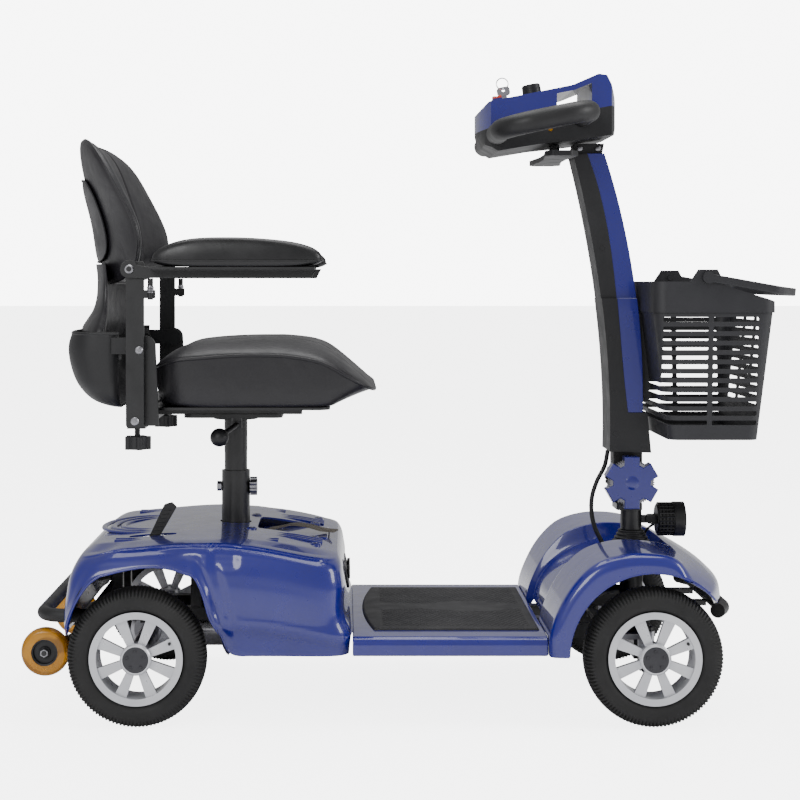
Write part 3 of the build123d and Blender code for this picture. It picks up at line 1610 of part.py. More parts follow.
# ================================================================ bumpers and anti-tip wheels
with BuildPart() as rear_bumper:
    with BuildLine():
        hoop = FilletPolyline(
            (-474, -bumper_half_width, bumper_z),
            (-547, -bumper_half_width, bumper_z),
            (-547, bumper_half_width, bumper_z),
            (-474, bumper_half_width, bumper_z),
            radius=34,
        )
    with BuildSketch(Plane(origin=hoop @ 0, z_dir=hoop % 0)):
        Circle(bumper_radius)
    sweep()
rear_bumper.part.label = "rear_bumper"
export_step(rear_bumper.part, "parts/rear_bumper.step")

with BuildPart() as front_bumper:
    with BuildLine():
        bow = FilletPolyline((448, -150, 152), (462, -120, 152), (462, 120, 152), (448, 150, 152), radius=40)
    with BuildSketch(Plane(origin=bow @ 0, z_dir=bow % 0)):
        Circle(11)
    sweep()
front_bumper.part.label = "front_bumper"
export_step(front_bumper.part, "parts/front_bumper.step")

anti_tip_x = rear_axle_x - anti_tip_reach
anti_tip_z = 92
with BuildPart() as anti_tip_arms:
    for side in (-1, 1):
        with BuildSketch(side_plane(side * (anti_tip_y - 17))):
            with BuildLine():
                Polyline(
                    (anti_tip_x, anti_tip_z - 12),
                    (-490, 100),
                    (rear_frame_end + 20, 104),
                    (rear_frame_end + 20, rear_rail_z),
                    (rear_frame_end, rear_rail_z),
                    (anti_tip_x, anti_tip_z + 12),
                    close=True,
                )
            make_face()
            with Locations((anti_tip_x, anti_tip_z)):
                Circle(13)
        extrude(amount=3, both=True)
        with BuildSketch(facing_out(anti_tip_x, side * (anti_tip_y - 17), anti_tip_z, side)):
            Circle(4)
        extrude(amount=34)
anti_tip_arms.part.label = "anti_tip_arms"
export_step(anti_tip_arms.part, "parts/anti_tip_arms.step")

for side_name, side in sides.items():
    with BuildPart() as anti_tip_wheel:
        with BuildSketch(facing_out(anti_tip_x, side * (anti_tip_y - 12), anti_tip_z, side)):
            Circle(anti_tip_radius)
            Circle(4 + running_gap, mode=Mode.SUBTRACT)
        extrude(amount=24)
        fillet(anti_tip_wheel.edges().filter_by(GeomType.CIRCLE).sort_by(SortBy.LENGTH)[-2:], 8)
    anti_tip_wheel.part.label = f"anti_tip_wheel_{side_name}"
    export_step(anti_tip_wheel.part, f"parts/anti_tip_wheel_{side_name}.step")

# ================================================================ freewheel lever
with BuildPart() as freewheel_lever:
    with BuildSketch(side_plane(freewheel_y)):
        with BuildLine():
            Polyline((-402, 240), (-391, 236), (-353, 302), (-360, 309), (-371, 306), close=True)
        make_face()
        with Locations((freewheel_x, freewheel_z)):
            Circle(7)
    extrude(amount=8, both=True)
    with BuildSketch(side_plane(freewheel_y)):
        with Locations((freewheel_x, freewheel_z)):
            Circle(3)
    extrude(amount=15, both=True)
freewheel_lever.part.label = "freewheel_lever"
export_step(freewheel_lever.part, "parts/freewheel_lever.step")

# ================================================================ cables
def bend_radii(points):
    """Radius for each corner of a route: 0.45 of the shorter run over the tangent of half the turn."""
    corners = [Vector(*point) for point in points]
    radii = []
    for before, corner, after in zip(corners, corners[1:], corners[2:]):
        half_turn = math.radians((corner - before).get_angle(after - corner)) / 2
        shorter_run = min((corner - before).length, (after - corner).length)
        radii.append(0.45 * shorter_run / math.tan(half_turn))
    return radii


tiller_cable_points = [
    (309, 0, 374.5),
    (304, 0, 350),
    (292, 0, 326),
    (284, 0, 300),
    (284, 0, 273),
    (290, 0, 250),
    (298, 0, 234),
    (303, 0, channel_top + 1.8),
]
lamp_cable_points = [
    (382.5, 15, 256),
    (377, 20, 251),
    (373, 27, 244),
    (372, 35, 236),
    (375, 42, channel_top + 2),
]
with BuildPart() as cables:
    for points, cable_radius in ((tiller_cable_points, 3.5), (lamp_cable_points, 2)):
        radii = bend_radii(points)
        print("cable radii", [round(radius) for radius in radii])
        with BuildLine():
            route = FilletPolyline(*points, radius=radii)
        with BuildSketch(Plane(origin=route @ 0, z_dir=route % 0)):
            Circle(cable_radius)
        sweep()
cables.part.label = "cables"
export_step(cables.part, "parts/cables.step")
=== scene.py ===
# %% Load the frame
import json
import math

import bmesh
import bpy
import numpy as np
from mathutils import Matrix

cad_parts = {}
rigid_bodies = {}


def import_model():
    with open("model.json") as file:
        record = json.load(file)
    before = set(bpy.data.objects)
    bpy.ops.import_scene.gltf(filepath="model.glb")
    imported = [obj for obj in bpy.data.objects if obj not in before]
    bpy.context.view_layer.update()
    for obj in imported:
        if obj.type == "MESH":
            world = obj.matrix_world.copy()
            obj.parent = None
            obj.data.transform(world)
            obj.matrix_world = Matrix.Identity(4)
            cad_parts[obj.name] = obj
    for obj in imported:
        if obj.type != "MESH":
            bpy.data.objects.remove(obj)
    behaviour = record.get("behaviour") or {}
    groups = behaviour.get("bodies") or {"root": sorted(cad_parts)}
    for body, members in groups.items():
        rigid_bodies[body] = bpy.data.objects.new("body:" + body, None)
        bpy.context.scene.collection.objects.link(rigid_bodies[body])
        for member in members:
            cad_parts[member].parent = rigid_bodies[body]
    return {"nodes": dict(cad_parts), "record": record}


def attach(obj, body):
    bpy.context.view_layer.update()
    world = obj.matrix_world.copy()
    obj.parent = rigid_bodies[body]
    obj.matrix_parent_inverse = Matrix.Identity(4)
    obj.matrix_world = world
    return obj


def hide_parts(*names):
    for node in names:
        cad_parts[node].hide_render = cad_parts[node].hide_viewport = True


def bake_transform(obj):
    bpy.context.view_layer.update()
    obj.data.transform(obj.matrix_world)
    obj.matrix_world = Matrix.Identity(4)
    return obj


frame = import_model()
nodes = frame["nodes"]
bodies = frame["record"]["behaviour"]["bodies"]
body_of_node = {node: body for body, members in bodies.items() for node in members}
slot_of_node = {row["node"]: row["material_slot"] for row in frame["record"]["subparts"]}
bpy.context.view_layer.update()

# %% [markdown]
# # Finishing a mobility scooter
# The frame holds every part of the scooter in its true place, as plain solids.
# This lesson gives each part its real surface: soft moulded edges, gloss paint,
# grained vinyl, tread and piping. All sizes below are in millimetres, +X is
# forward, +Y is the rider's left and +Z is up. Points become metres only when
# they enter a mesh, so the numbers can be checked with a ruler on a real scooter.

# %% Grids and curves
MM = 0.001


def grid_quads(rows, columns, close_rows=False, close_columns=False):
    """Four-sided faces between neighbours on a rows by columns grid, which may wrap round either way."""
    row, column = np.meshgrid(
        np.arange(rows if close_rows else rows - 1),
        np.arange(columns if close_columns else columns - 1),
        indexing="ij",
    )
    next_row, next_column = (row + 1) % rows, (column + 1) % columns
    corners = [
        row * columns + column,
        row * columns + next_column,
        next_row * columns + next_column,
        next_row * columns + column,
    ]
    return np.stack(corners, -1).reshape(-1, 4)


def through(x, knots, values):
    """Smooth line through knots: cubics whose slope at a knot comes from its two neighbours."""
    x, knots, values = (np.asarray(a, float) for a in (x, knots, values))
    slope = np.gradient(values, knots, axis=0)
    x = np.clip(x, knots[0], knots[-1])
    i = np.clip(np.searchsorted(knots, x, side="right") - 1, 0, len(knots) - 2)
    width = knots[i + 1] - knots[i]
    u = (x - knots[i]) / width
    if values.ndim > 1:
        u, width = u[..., None], width[..., None]
    start = (2 * u**3 - 3 * u**2 + 1) * values[i] + (u**3 - 2 * u**2 + u) * width * slope[i]
    end = (3 * u**2 - 2 * u**3) * values[i + 1] + (u**3 - u**2) * width * slope[i + 1]
    return start + end


def curve(points, count):
    """The same smooth line through points in space, sampled evenly by its chord length."""
    points = np.asarray(points, float)
    along = np.concatenate([[0], np.cumsum(np.linalg.norm(np.diff(points, axis=0), axis=1))])
    return through(np.linspace(0, along[-1], count), along, points)


def step(x, start, end):
    """0 before start, 1 after end, and 3t^2 - 2t^3 between them."""
    t = np.clip((np.asarray(x, float) - start) / (end - start), 0, 1)
    return t * t * (3 - 2 * t)


print("a smooth step halfway:", float(step(0.5, 0, 1)))

# %% [markdown]
# ## Three ways to sweep a shape
# Most of the scooter is turned, bent or moulded. A turned part is a profile
# carried round an axis, a bent part is a circle carried along a path, and a
# moulded part is a stack of rounded rectangles. Each is one array formula, so a
# tyre with hundreds of tread blocks costs no more code than a plain ring.


# %% Turned, tubular and ringed surfaces
AXES = {
    "X": np.array([(0, 1, 0), (0, 0, 1), (1, 0, 0)], float),
    "Y": np.array([(0, 0, 1), (1, 0, 0), (0, 1, 0)], float),
    "Z": np.array([(1, 0, 0), (0, 1, 0), (0, 0, 1)], float),
}


def turned(profile, centre, axis, sides=48):
    """Each (radius, height) of the profile is carried round the axis through the centre."""
    first, second, along = AXES[axis]
    radius, height = np.asarray(profile, float).T
    angle = np.linspace(0, 2 * np.pi, sides, endpoint=False)[:, None]
    circle = np.cos(angle) * first + np.sin(angle) * second
    points = np.asarray(centre, float) + radius[:, None, None] * circle + height[:, None, None] * along
    return points, grid_quads(len(radius), sides, close_columns=True)


def tube(path, radius, sides=12, up=(0, 0, 1), flat=1.0, closed=False):
    """A circle of the given radius, or an ellipse flattened along up, carried square to the path."""
    path = np.asarray(path, float)
    if closed:
        forward = np.roll(path, -1, axis=0) - np.roll(path, 1, axis=0)
    else:
        forward = np.gradient(path, axis=0)
    forward /= np.linalg.norm(forward, axis=1, keepdims=True)
    across = np.cross(forward, up)
    across /= np.linalg.norm(across, axis=1, keepdims=True)
    lift = np.cross(across, forward)
    size = np.full(len(path), radius, float) if np.isscalar(radius) else np.asarray(radius, float)
    if not closed:
        path, across, lift = (np.concatenate([a[:1], a, a[-1:]]) for a in (path, across, lift))
        size = np.concatenate([[0], size, [0]])
    angle = np.linspace(0, 2 * np.pi, sides, endpoint=False)[None, :, None]
    section = np.cos(angle) * across[:, None] + flat * np.sin(angle) * lift[:, None]
    points = path[:, None] + size[:, None, None] * section
    return points, grid_quads(len(path), sides, close_rows=closed, close_columns=True)


def square_ring(count, roundness):
    """Points round a square from -1 to 1 whose corners are drawn in, so |u|^n + |v|^n = 1."""
    angle = np.linspace(0, 2 * np.pi, count, endpoint=False)
    u, v = np.cos(angle), np.sin(angle)
    reach = np.maximum(np.abs(u), np.abs(v))
    u, v = u / reach, v / reach
    shrink = (np.abs(u) ** roundness + np.abs(v) ** roundness) ** (-1 / roundness)
    return u * shrink, v * shrink


def pad_grid(columns, rows, roundness):
    """The same rounded square filled in, with the ring number: 0 in the middle and 1 at the edge."""
    a = np.linspace(-1, 1, columns)
    b = np.linspace(-1, 1, rows)
    a = 0.6 * a + 0.4 * np.sin(a * np.pi / 2)
    b = 0.6 * b + 0.4 * np.sin(b * np.pi / 2)
    a, b = np.meshgrid(a, b, indexing="ij")
    ring = np.maximum(np.abs(a), np.abs(b))
    reach = np.where(ring > 0, ring, 1)
    shrink = (np.abs(a / reach) ** roundness + np.abs(b / reach) ** roundness) ** (-1 / roundness)
    return a * shrink, b * shrink, ring


def edge_of(grid):
    """The outer points of a grid, in order round it."""
    return np.concatenate([grid[:, 0], grid[-1, 1:], grid[-2::-1, -1], grid[0, -2:0:-1]])


def block(low, high, roundness=8.0, soft=1.5, sides=32):
    """A moulded block between two corners: rounded-square rings, drawn in by soft at top and bottom."""
    low, high = np.asarray(low, float), np.asarray(high, float)
    centre, half = (low + high) / 2, (high - low) / 2
    u, v = square_ring(sides, roundness)
    inset = np.array([1e3, soft, 0.3 * soft, 0, 0, 0.3 * soft, soft, 1e3])
    level = np.array([0, 0, 0.3, 1, -1, -0.3, 0, 0]) * soft
    height = np.where(np.arange(8) < 4, low[2], high[2]) + level
    half_x = np.maximum(half[0] - inset, 0)[:, None]
    half_y = np.maximum(half[1] - inset, 0)[:, None]
    points = np.stack(
        [centre[0] + half_x * u, centre[1] + half_y * v, np.broadcast_to(height[:, None], (8, sides))], -1
    )
    return points, grid_quads(8, sides, close_columns=True)


print("a turned ring has", turned([(10, 0), (12, 1)], (0, 0, 0), "Z")[0].shape, "points")

# %% [markdown]
# ## Finishes
# Every finish is procedural. It reads Object coordinates, in metres, so its
# grain keeps its true size on every part. Each finish has soft patches of a
# second tone, a roughness that drifts, and a fine bump for its grain.


# %% The finish recipe
finishes = {}


def colour(red, green, blue):
    """Screen values from 0 to 255, as linear light."""
    share = np.array([red, green, blue]) / 255
    linear = np.where(share <= 0.04045, share / 12.92, ((share + 0.055) / 1.055) ** 2.4)
    return (*[float(c) for c in linear], 1.0)


def add_node(tree, kind, **values):
    node = tree.nodes.new(kind)
    for name, value in values.items():
        node.inputs[name.replace("_", " ")].default_value = value
    return node


def spread(tree, source, low, high, to_low, to_high):
    """A pattern's values from low to high, carried over to to_low to to_high."""
    node = add_node(tree, "ShaderNodeMapRange", From_Min=low, From_Max=high, To_Min=to_low, To_Max=to_high)
    tree.links.new(source, node.inputs["Value"])
    return node.outputs["Result"]


def finish(name, base, second, rough, grain, depth, kind="noise", drift=0.08, patch=9.0, share=0.6,
           crease=None, **sockets):
    """Two tones in patches, a drifting roughness, a grain of that scale and depth, and creases if given."""
    material = bpy.data.materials.new(name)
    material.use_nodes = True
    tree = material.node_tree
    surface = tree.nodes["Principled BSDF"]
    place = tree.nodes.new("ShaderNodeTexCoord").outputs["Object"]
    patches = add_node(tree, "ShaderNodeTexNoise", Scale=patch, Detail=7.0, Roughness=0.6)
    tree.links.new(place, patches.inputs["Vector"])
    tones = tree.nodes.new("ShaderNodeMix")
    tones.data_type = "RGBA"
    tones.inputs[6].default_value, tones.inputs[7].default_value = base, second
    tree.links.new(spread(tree, patches.outputs["Fac"], 0.45, 0.72, 0.0, share), tones.inputs[0])
    tree.links.new(tones.outputs[2], surface.inputs["Base Color"])
    smears = add_node(tree, "ShaderNodeTexNoise", Scale=patch * 4, Detail=5.0)
    tree.links.new(place, smears.inputs["Vector"])
    drifting = spread(tree, smears.outputs["Fac"], 0.3, 0.7, rough - drift, rough + drift)
    tree.links.new(drifting, surface.inputs["Roughness"])
    if kind == "pebble":
        texture = add_node(tree, "ShaderNodeTexVoronoi", Scale=grain, Randomness=0.9)
        texture.feature = "SMOOTH_F1"
        height = texture.outputs["Distance"]
    elif kind == "weave":
        texture = add_node(tree, "ShaderNodeTexWave", Scale=grain, Distortion=0.4)
        texture.bands_direction = "DIAGONAL"
        height = texture.outputs["Fac"]
    else:
        texture = add_node(tree, "ShaderNodeTexNoise", Scale=grain, Detail=4.0)
        height = texture.outputs["Fac"]
    tree.links.new(place, texture.inputs["Vector"])
    bump = add_node(tree, "ShaderNodeBump", Strength=1.0, Distance=depth)
    tree.links.new(height, bump.inputs["Height"])
    if crease:
        folds = add_node(tree, "ShaderNodeTexNoise", Scale=crease[0], Detail=3.0, Distortion=0.8)
        tree.links.new(place, folds.inputs["Vector"])
        under = add_node(tree, "ShaderNodeBump", Strength=1.0, Distance=crease[1])
        tree.links.new(folds.outputs["Fac"], under.inputs["Height"])
        tree.links.new(under.outputs["Normal"], bump.inputs["Normal"])
    tree.links.new(bump.outputs["Normal"], surface.inputs["Normal"])
    for socket, value in sockets.items():
        surface.inputs[socket.replace("_", " ")].default_value = value
    finishes[name] = material


# %% Paint, plastic, metal, rubber and vinyl
finish("blue_gloss", colour(15, 19, 118), colour(11, 14, 100), 0.3, 260, 0.00001, drift=0.05,
       share=0.5, Coat_Weight=1.0, Coat_Roughness=0.03)
finish("black_plastic", colour(20, 20, 23), colour(29, 29, 32), 0.48, 1400, 0.00004, "pebble")
finish("black_paint", colour(18, 18, 20), colour(26, 26, 29), 0.4, 1100, 0.00003,
       Coat_Weight=0.3, Coat_Roughness=0.2)
finish("steel", colour(170, 170, 175), colour(132, 130, 130), 0.3, 900, 0.00002, Metallic=1.0)
finish("alloy", colour(205, 206, 210), colour(186, 188, 194), 0.34, 1200, 0.000012, share=0.5, Metallic=0.55)
finish("tyre_rubber", colour(17, 17, 18), colour(30, 29, 28), 0.66, 900, 0.00006, share=0.7)
finish("rubber", colour(20, 20, 22), colour(31, 31, 33), 0.5, 1300, 0.00003)
finish("mat_rubber", colour(26, 26, 29), colour(44, 43, 45), 0.6, 1500, 0.00005, share=0.7)
finish("vinyl", colour(24, 23, 27), colour(33, 32, 37), 0.4, 1000, 0.0001, "pebble",
       crease=(26, 0.0012), share=0.5)
finish("urethane", colour(19, 19, 21), colour(28, 27, 30), 0.36, 1500, 0.00004, "pebble",
       crease=(20, 0.0006))
finish("amber", colour(214, 150, 34), colour(178, 112, 16), 0.22, 300, 0.00005,
       Transmission_Weight=0.6, IOR=1.48)
finish("webbing", colour(112, 106, 98), colour(88, 82, 76), 0.85, 420, 0.0005, "weave", share=0.7)
finish("basket_plastic", colour(32, 32, 36), colour(42, 42, 47), 0.5, 1200, 0.00005, "pebble")
finish("lamp_black", colour(15, 15, 16), colour(24, 24, 26), 0.42, 1200, 0.00004)
finish("hub_grey", colour(44, 44, 49), colour(60, 60, 64), 0.45, 1000, 0.00004)
finish("chrome", colour(225, 225, 228), colour(200, 200, 205), 0.12, 700, 0.000004,
       drift=0.04, Metallic=1.0)
finish("switch_red", colour(205, 62, 30), colour(176, 44, 22), 0.35, 900, 0.00002, Coat_Weight=0.4)
finish("lens_clear", colour(238, 242, 246), colour(226, 232, 238), 0.08, 180, 0.0001,
       drift=0.03, Transmission_Weight=0.9, IOR=1.45)
finish("rib_grey", colour(126, 126, 132), colour(100, 100, 106), 0.5, 900, 0.00003)
print("finishes:", len(finishes))

# %% [markdown]
# ## From arrays to objects
# A new piece takes its points and faces, closes its seams by merging points that
# meet, and turns its faces outwards. A copy of a frame node is merged the same
# way, its flat faces are joined up, and a small bevel gives it moulded edges.
# The bevel is what catches the light on a real casting, so no edge goes without.


# %% Pieces
def settle(piece, material, body, replaces=(), sharp=38.0):
    """Smooth faces with crisp edges past the sharp angle, one finish, and a body to ride on."""
    mesh = piece.data
    mesh.materials.clear()
    mesh.materials.append(finishes[material])
    mesh.shade_smooth()
    mesh.set_sharp_from_angle(angle=math.radians(sharp))
    bpy.context.scene.collection.objects.link(piece)
    if body:
        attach(piece, body)
    if replaces:
        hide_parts(*replaces)
    return piece


def build_mesh(name, parts):
    """One mesh from (points, faces) pairs: points that meet are merged and the faces turned outwards."""
    counts = [0] + [points.reshape(-1, 3).shape[0] for points, faces in parts]
    points = np.concatenate([points.reshape(-1, 3) for points, faces in parts]) * MM
    faces = np.concatenate([faces + start for (_, faces), start in zip(parts, np.cumsum(counts))])
    mesh = bpy.data.meshes.new(name)
    mesh.from_pydata(points.tolist(), [], faces.tolist())
    shape = bmesh.new()
    shape.from_mesh(mesh)
    bmesh.ops.remove_doubles(shape, verts=shape.verts, dist=3e-6)
    bmesh.ops.dissolve_degenerate(shape, edges=shape.edges, dist=1e-7)
    bmesh.ops.recalc_face_normals(shape, faces=shape.faces)
    shape.to_mesh(mesh)
    shape.free()
    return mesh


def make(name, parts, material, body, replaces=(), sharp=38.0):
    """A new piece of the scooter."""
    return settle(bpy.data.objects.new(name, build_mesh(name, parts)), material, body, replaces, sharp)


def cad_copy(name, node):
    """A frame node's triangles as a merged mesh, with its flat triangles joined into whole faces."""
    source = nodes[node].data
    points = np.zeros(len(source.vertices) * 3, np.float32)
    corners = np.zeros(len(source.loops), np.int32)
    source.vertices.foreach_get("co", points)
    source.loops.foreach_get("vertex_index", corners)
    mesh = bpy.data.meshes.new(name)
    mesh.from_pydata(points.reshape(-1, 3).tolist(), [], corners.reshape(-1, 3).tolist())
    shape = bmesh.new()
    shape.from_mesh(mesh)
    bmesh.ops.remove_doubles(shape, verts=shape.verts, dist=2e-6)
    bmesh.ops.dissolve_limit(
        shape, angle_limit=math.radians(0.5), verts=shape.verts, edges=shape.edges, delimit={"NORMAL"}
    )
    shape.to_mesh(mesh)
    shape.free()
    return bpy.data.objects.new(name, mesh)


def soften(piece, width, angle=32.0):
    """Rounds the edges that turn by more than the angle."""
    bevel = piece.modifiers.new("soft edges", "BEVEL")
    bevel.width = width * MM
    bevel.segments = 2
    bevel.limit_method = "ANGLE"
    bevel.angle_limit = math.radians(angle)
    bevel.harden_normals = True


def keep_shape(piece):
    """Leaves the result of a piece's modifiers as its mesh."""
    bpy.context.view_layer.update()
    evaluated = piece.evaluated_get(bpy.context.evaluated_depsgraph_get())
    mesh = bpy.data.meshes.new_from_object(evaluated)
    piece.modifiers.clear()
    piece.data = mesh


def cut(piece, parts, operation="DIFFERENCE"):
    """Takes closed shapes out of a piece, or keeps only what lies in them."""
    cutter = bpy.data.objects.new("cutter", build_mesh("cutter", parts))
    bpy.context.scene.collection.objects.link(cutter)
    bpy.context.scene.collection.objects.link(piece)
    modifier = piece.modifiers.new("cut", "BOOLEAN")
    modifier.operation = operation
    modifier.object = cutter
    modifier.solver = "EXACT"
    keep_shape(piece)
    bpy.context.scene.collection.objects.unlink(piece)
    bpy.data.objects.remove(cutter)


def thin_skin(name, part, thickness):
    """A sheet thickened inwards, ready to be cut and settled."""
    skin = bpy.data.objects.new(name, build_mesh(name, [part]))
    wall = skin.modifiers.new("wall", "SOLIDIFY")
    wall.thickness, wall.offset = thickness * MM, -1.0
    bpy.context.scene.collection.objects.link(skin)
    keep_shape(skin)
    bpy.context.scene.collection.objects.unlink(skin)
    return skin


def stud(profile, centre, side, sides):
    """A bolt, cap or plug turned across the scooter, whose heights run outwards on that side."""
    return turned([(radius, side * height) for radius, height in profile], centre, "Y", sides)


def two_faces(first, second):
    """Both faces of a closed pad, which meet at their outer points."""
    quads = grid_quads(*first.shape[:2])
    return [(first, quads), (second, quads)]


def moulded(node, width, angle=32.0):
    """A softened copy of one frame node in its place."""
    piece = cad_copy(f"{node}_moulded", node)
    slot = slot_of_node[node]
    settle(piece, slot, body_of_node[node], [node])
    soften(piece, width, angle)


print("pieces can now be made")

# %% [markdown]
# ## The plain mouldings
# Rails, brackets, tubes and covers already have the right shape in the frame, so
# each gets a softened copy and its finish. The bevel width follows the part:
# thick castings are rounder than cut steel plate.

# %% Softened frame parts
EDGE = {
    "rear_frame": 1.0, "front_frame": 1.0, "transaxle": 1.0, "battery_pack": 1.5, "charge_panel": 1.2,
    "deck_pan": 2.0, "steering_column": 0.7, "tie_rod": 0.8, "knuckle_left": 0.8, "knuckle_right": 0.8,
    "tiller_rear": 2.5, "tiller_front": 2.5, "star_knob": 1.2, "headlight": 0.5, "head_lower": 1.5,
    "head_upper": 2.0, "speed_knob": 0.4, "key": 0.5, "horn_button": 0.4, "handlebar_left": 0.5,
    "handlebar_right": 0.5, "throttle_paddle": 1.5, "basket": 0.7, "basket_handle": 0.8,
    "seat_post_outer": 0.6, "seat_post_inner": 0.6, "clamp_screw": 0.7, "seat_base": 0.8,
    "swivel_lever": 0.6, "armrest_post_left": 0.9, "armrest_post_right": 0.9, "armrest_rail_left": 0.8,
    "armrest_rail_right": 0.8, "armrest_knob_left": 1.0, "armrest_knob_right": 1.0, "rear_bumper": 0.5,
    "front_bumper": 0.5, "anti_tip_arms": 0.8, "freewheel_lever": 1.5, "rear_rim_left": 1.6,
    "rear_rim_right": 1.6, "front_rim_left": 1.6, "front_rim_right": 1.6,
}
# the lower cover of the head has shallow creases that must stay, so only its sharp edges are rounded
SHARP_ONLY = {"head_lower": 50.0}
for node, width in EDGE.items():
    moulded(node, width, SHARP_ONLY.get(node, 32.0))
print("softened", len(EDGE), "frame parts")

# %% [markdown]
# ## Tyres
# A pneumatic scooter tyre has a plain sidewall and a tread of narrow blocks that
# runs over both shoulders. The section is a rounded oblong in radius and width.
# The tread is the same surface pushed in wherever the angle falls in a groove,
# and the groove fades out on the sidewall, so the blocks end as they do in rubber.

# %% Tyres with tread
WHEELS = {"rear": -400.0, "front": 340.0}
SIDES = {"right": -1, "left": 1}
WHEEL_Y, WHEEL_R = 218.0, 100.0
VALVE_R, VALVE_TURN = 52.0, 0.42


def tyre(centre, blocks=112, samples=5, rows=46, depth=2.4):
    """Radius 82 + 18 s and width 27 c round an oblong section, less the tread's depth in its grooves."""
    around = np.linspace(0, 2 * np.pi, blocks * samples, endpoint=False)[:, None]
    turn = np.linspace(0, 2 * np.pi, rows, endpoint=False)[None, :]
    s, c = np.sin(turn), np.cos(turn)
    size = (np.abs(s) ** 2.9 + np.abs(c) ** 2.9) ** (-1 / 2.9)
    out, wide = s * size, c * size
    zigzag = 0.35 * np.sign(wide) * step(np.abs(wide), 0.1, 0.5)
    wave = np.cos(blocks * around + 2 * np.pi * zigzag)
    groove = step(wave, 0.1, 0.75) * step(out, 0.12, 0.6) * step(np.abs(wide), 0.26, 0.34)
    channel = np.exp(-(((np.abs(wide) - 0.3) / 0.045) ** 2)) * step(out, 0.6, 0.8)
    bead = 0.9 * np.exp(-(((out + 0.35) / 0.05) ** 2))
    sink = depth * np.maximum(groove, channel)
    radius = 82 + out * (18 - sink) + 0 * around
    width = wide * (27 - 0.7 * sink * step(np.abs(wide), 0.6, 0.95) + bead) + 0 * around
    points = np.stack([radius * np.cos(around), width, radius * np.sin(around)], -1) + np.asarray(centre)
    return points, grid_quads(blocks * samples, rows, True, True)


for axle, x in WHEELS.items():
    for side_name, side in SIDES.items():
        body = f"{axle}_wheel_{side_name}"
        centre = np.array([x, side * WHEEL_Y, WHEEL_R])
        make(f"{axle}_tyre_tread_{side_name}", [tyre(centre)], "tyre_rubber", body,
             replaces=[f"{axle}_tyre_{side_name}"], sharp=50)
        face = centre + np.array([0, side * 29.0, 0])
        cap = [(0, 0.6), (17, 0.4), (19.5, -0.2), (21.2, -1.4), (21.6, -6), (0, -6)]
        dome = [(0, 2.2), (1.6, 2.0), (2.3, 1.0), (2.4, -1), (0, -1)]
        parts = [stud(cap, face, side, 40)]
        for a in np.radians(np.arange(5) * 72 + 20):
            parts.append(stud(dome, face + 12.5 * np.array([np.cos(a), 0, np.sin(a)]), side, 10))
        make(f"{axle}_hub_cap_{side_name}", parts, "hub_grey", body)
        valve = centre + np.array([VALVE_R * np.cos(VALVE_TURN), side * 8.0, VALVE_R * np.sin(VALVE_TURN)])
        stem = valve + np.array([[0, 0, 0], [0, side * 10.0, 0], [0, side * 16.0, 0]]) * 0.9
        make(f"{axle}_valve_{side_name}", [tube(stem, [2.6, 2.6, 2.0], 10)], "rubber", body)
print("four tyres, each with 112 blocks round it")

# %% [markdown]
# ## The rear body shell
# On the real scooter this is one vacuum-moulded skin: a flat lid with rounded
# shoulders, flared wheel arches, a swage line behind the arch and a sill step.
# Stacked rings suit it, because the bottom ring can follow the arch while the
# rings above it even out. Width and length are looked up by height, so the same
# table gives the tuck under the lid and the flare over the tyre.

# %% Rear shell surface
ARCH_X = [-512, -505, -498, -490, -478, -462, -446, -330, -314, -298, -284, -274, -264, -254, -240, -90]
ARCH_Z = [128, 130, 150, 176, 200, 216, 221, 221, 214, 182, 140, 112, 102.5, 100, 100, 100]
WIDTH_Z = [100, 112, 130, 138, 160, 200, 232, 245, 252, 256, 257]
WIDTH_Y = [221, 224, 231, 238, 239.5, 239, 235, 230, 222, 212, 200]
SHELL_MIDDLE, SHELL_REACH, LID_TOP = -301.0, 210.0, 257
POST_X = -272.5
BOSSES = ((-150, 74), (-146, 136), (-244, 74))


def arch_line(x):
    """Height of the shell's lower edge: over the tyre it is the arch, ahead of it the sill."""
    return through(x, ARCH_X, ARCH_Z)


def lid_line(x):
    """Height of the lid along the scooter: level, then falling to the front lip."""
    return through(x, [-520, -486, -462, -430, -200, -124, -90], [240, 247, 254, 257, 257, 243, 238])


def shell_point(u, v, share):
    """A point of the skin: u along, v across, and share from 0 at the lower edge to 1 at the shoulder."""
    nominal = SHELL_MIDDLE + SHELL_REACH * u
    low = np.where((u > 0.985) & (np.abs(v) < 0.9), 128.0, arch_line(nominal))
    high = lid_line(nominal)
    z = low + share * (high - low)
    rear = through(z, [100, 128, 150, 180, 225, 240, 257], [-508, -509, -511, -508, -497, -488, -470])
    front = through(z, [100, 136, 150, 206, 236, 245, 257], [-92, -92, -99, -103, -112, -120, -136])
    x = rear + (u + 1) / 2 * (front - rear)
    half = through(z - (high - LID_TOP), WIDTH_Z, WIDTH_Y)
    rise = z - arch_line(x)
    over_wheel = step(x, -512, -500) * (1 - step(x, -272, -258))
    half = half + over_wheel * (3.5 * np.exp(-((rise / 11) ** 2)) - 2.0 * np.exp(-(((rise - 24) / 9) ** 2)))
    swage = step(x - (-289 + 0.28 * (236 - z)), 0, 9) * step(z, 138, 150) * (1 - step(z, 222, 240))
    half = half - 3.0 * (1 - swage) * step(x, -300, -289) * (1 - step(x, -262, -250)) * step(z, 138, 150)
    return np.stack([x, half * v, z], -1)


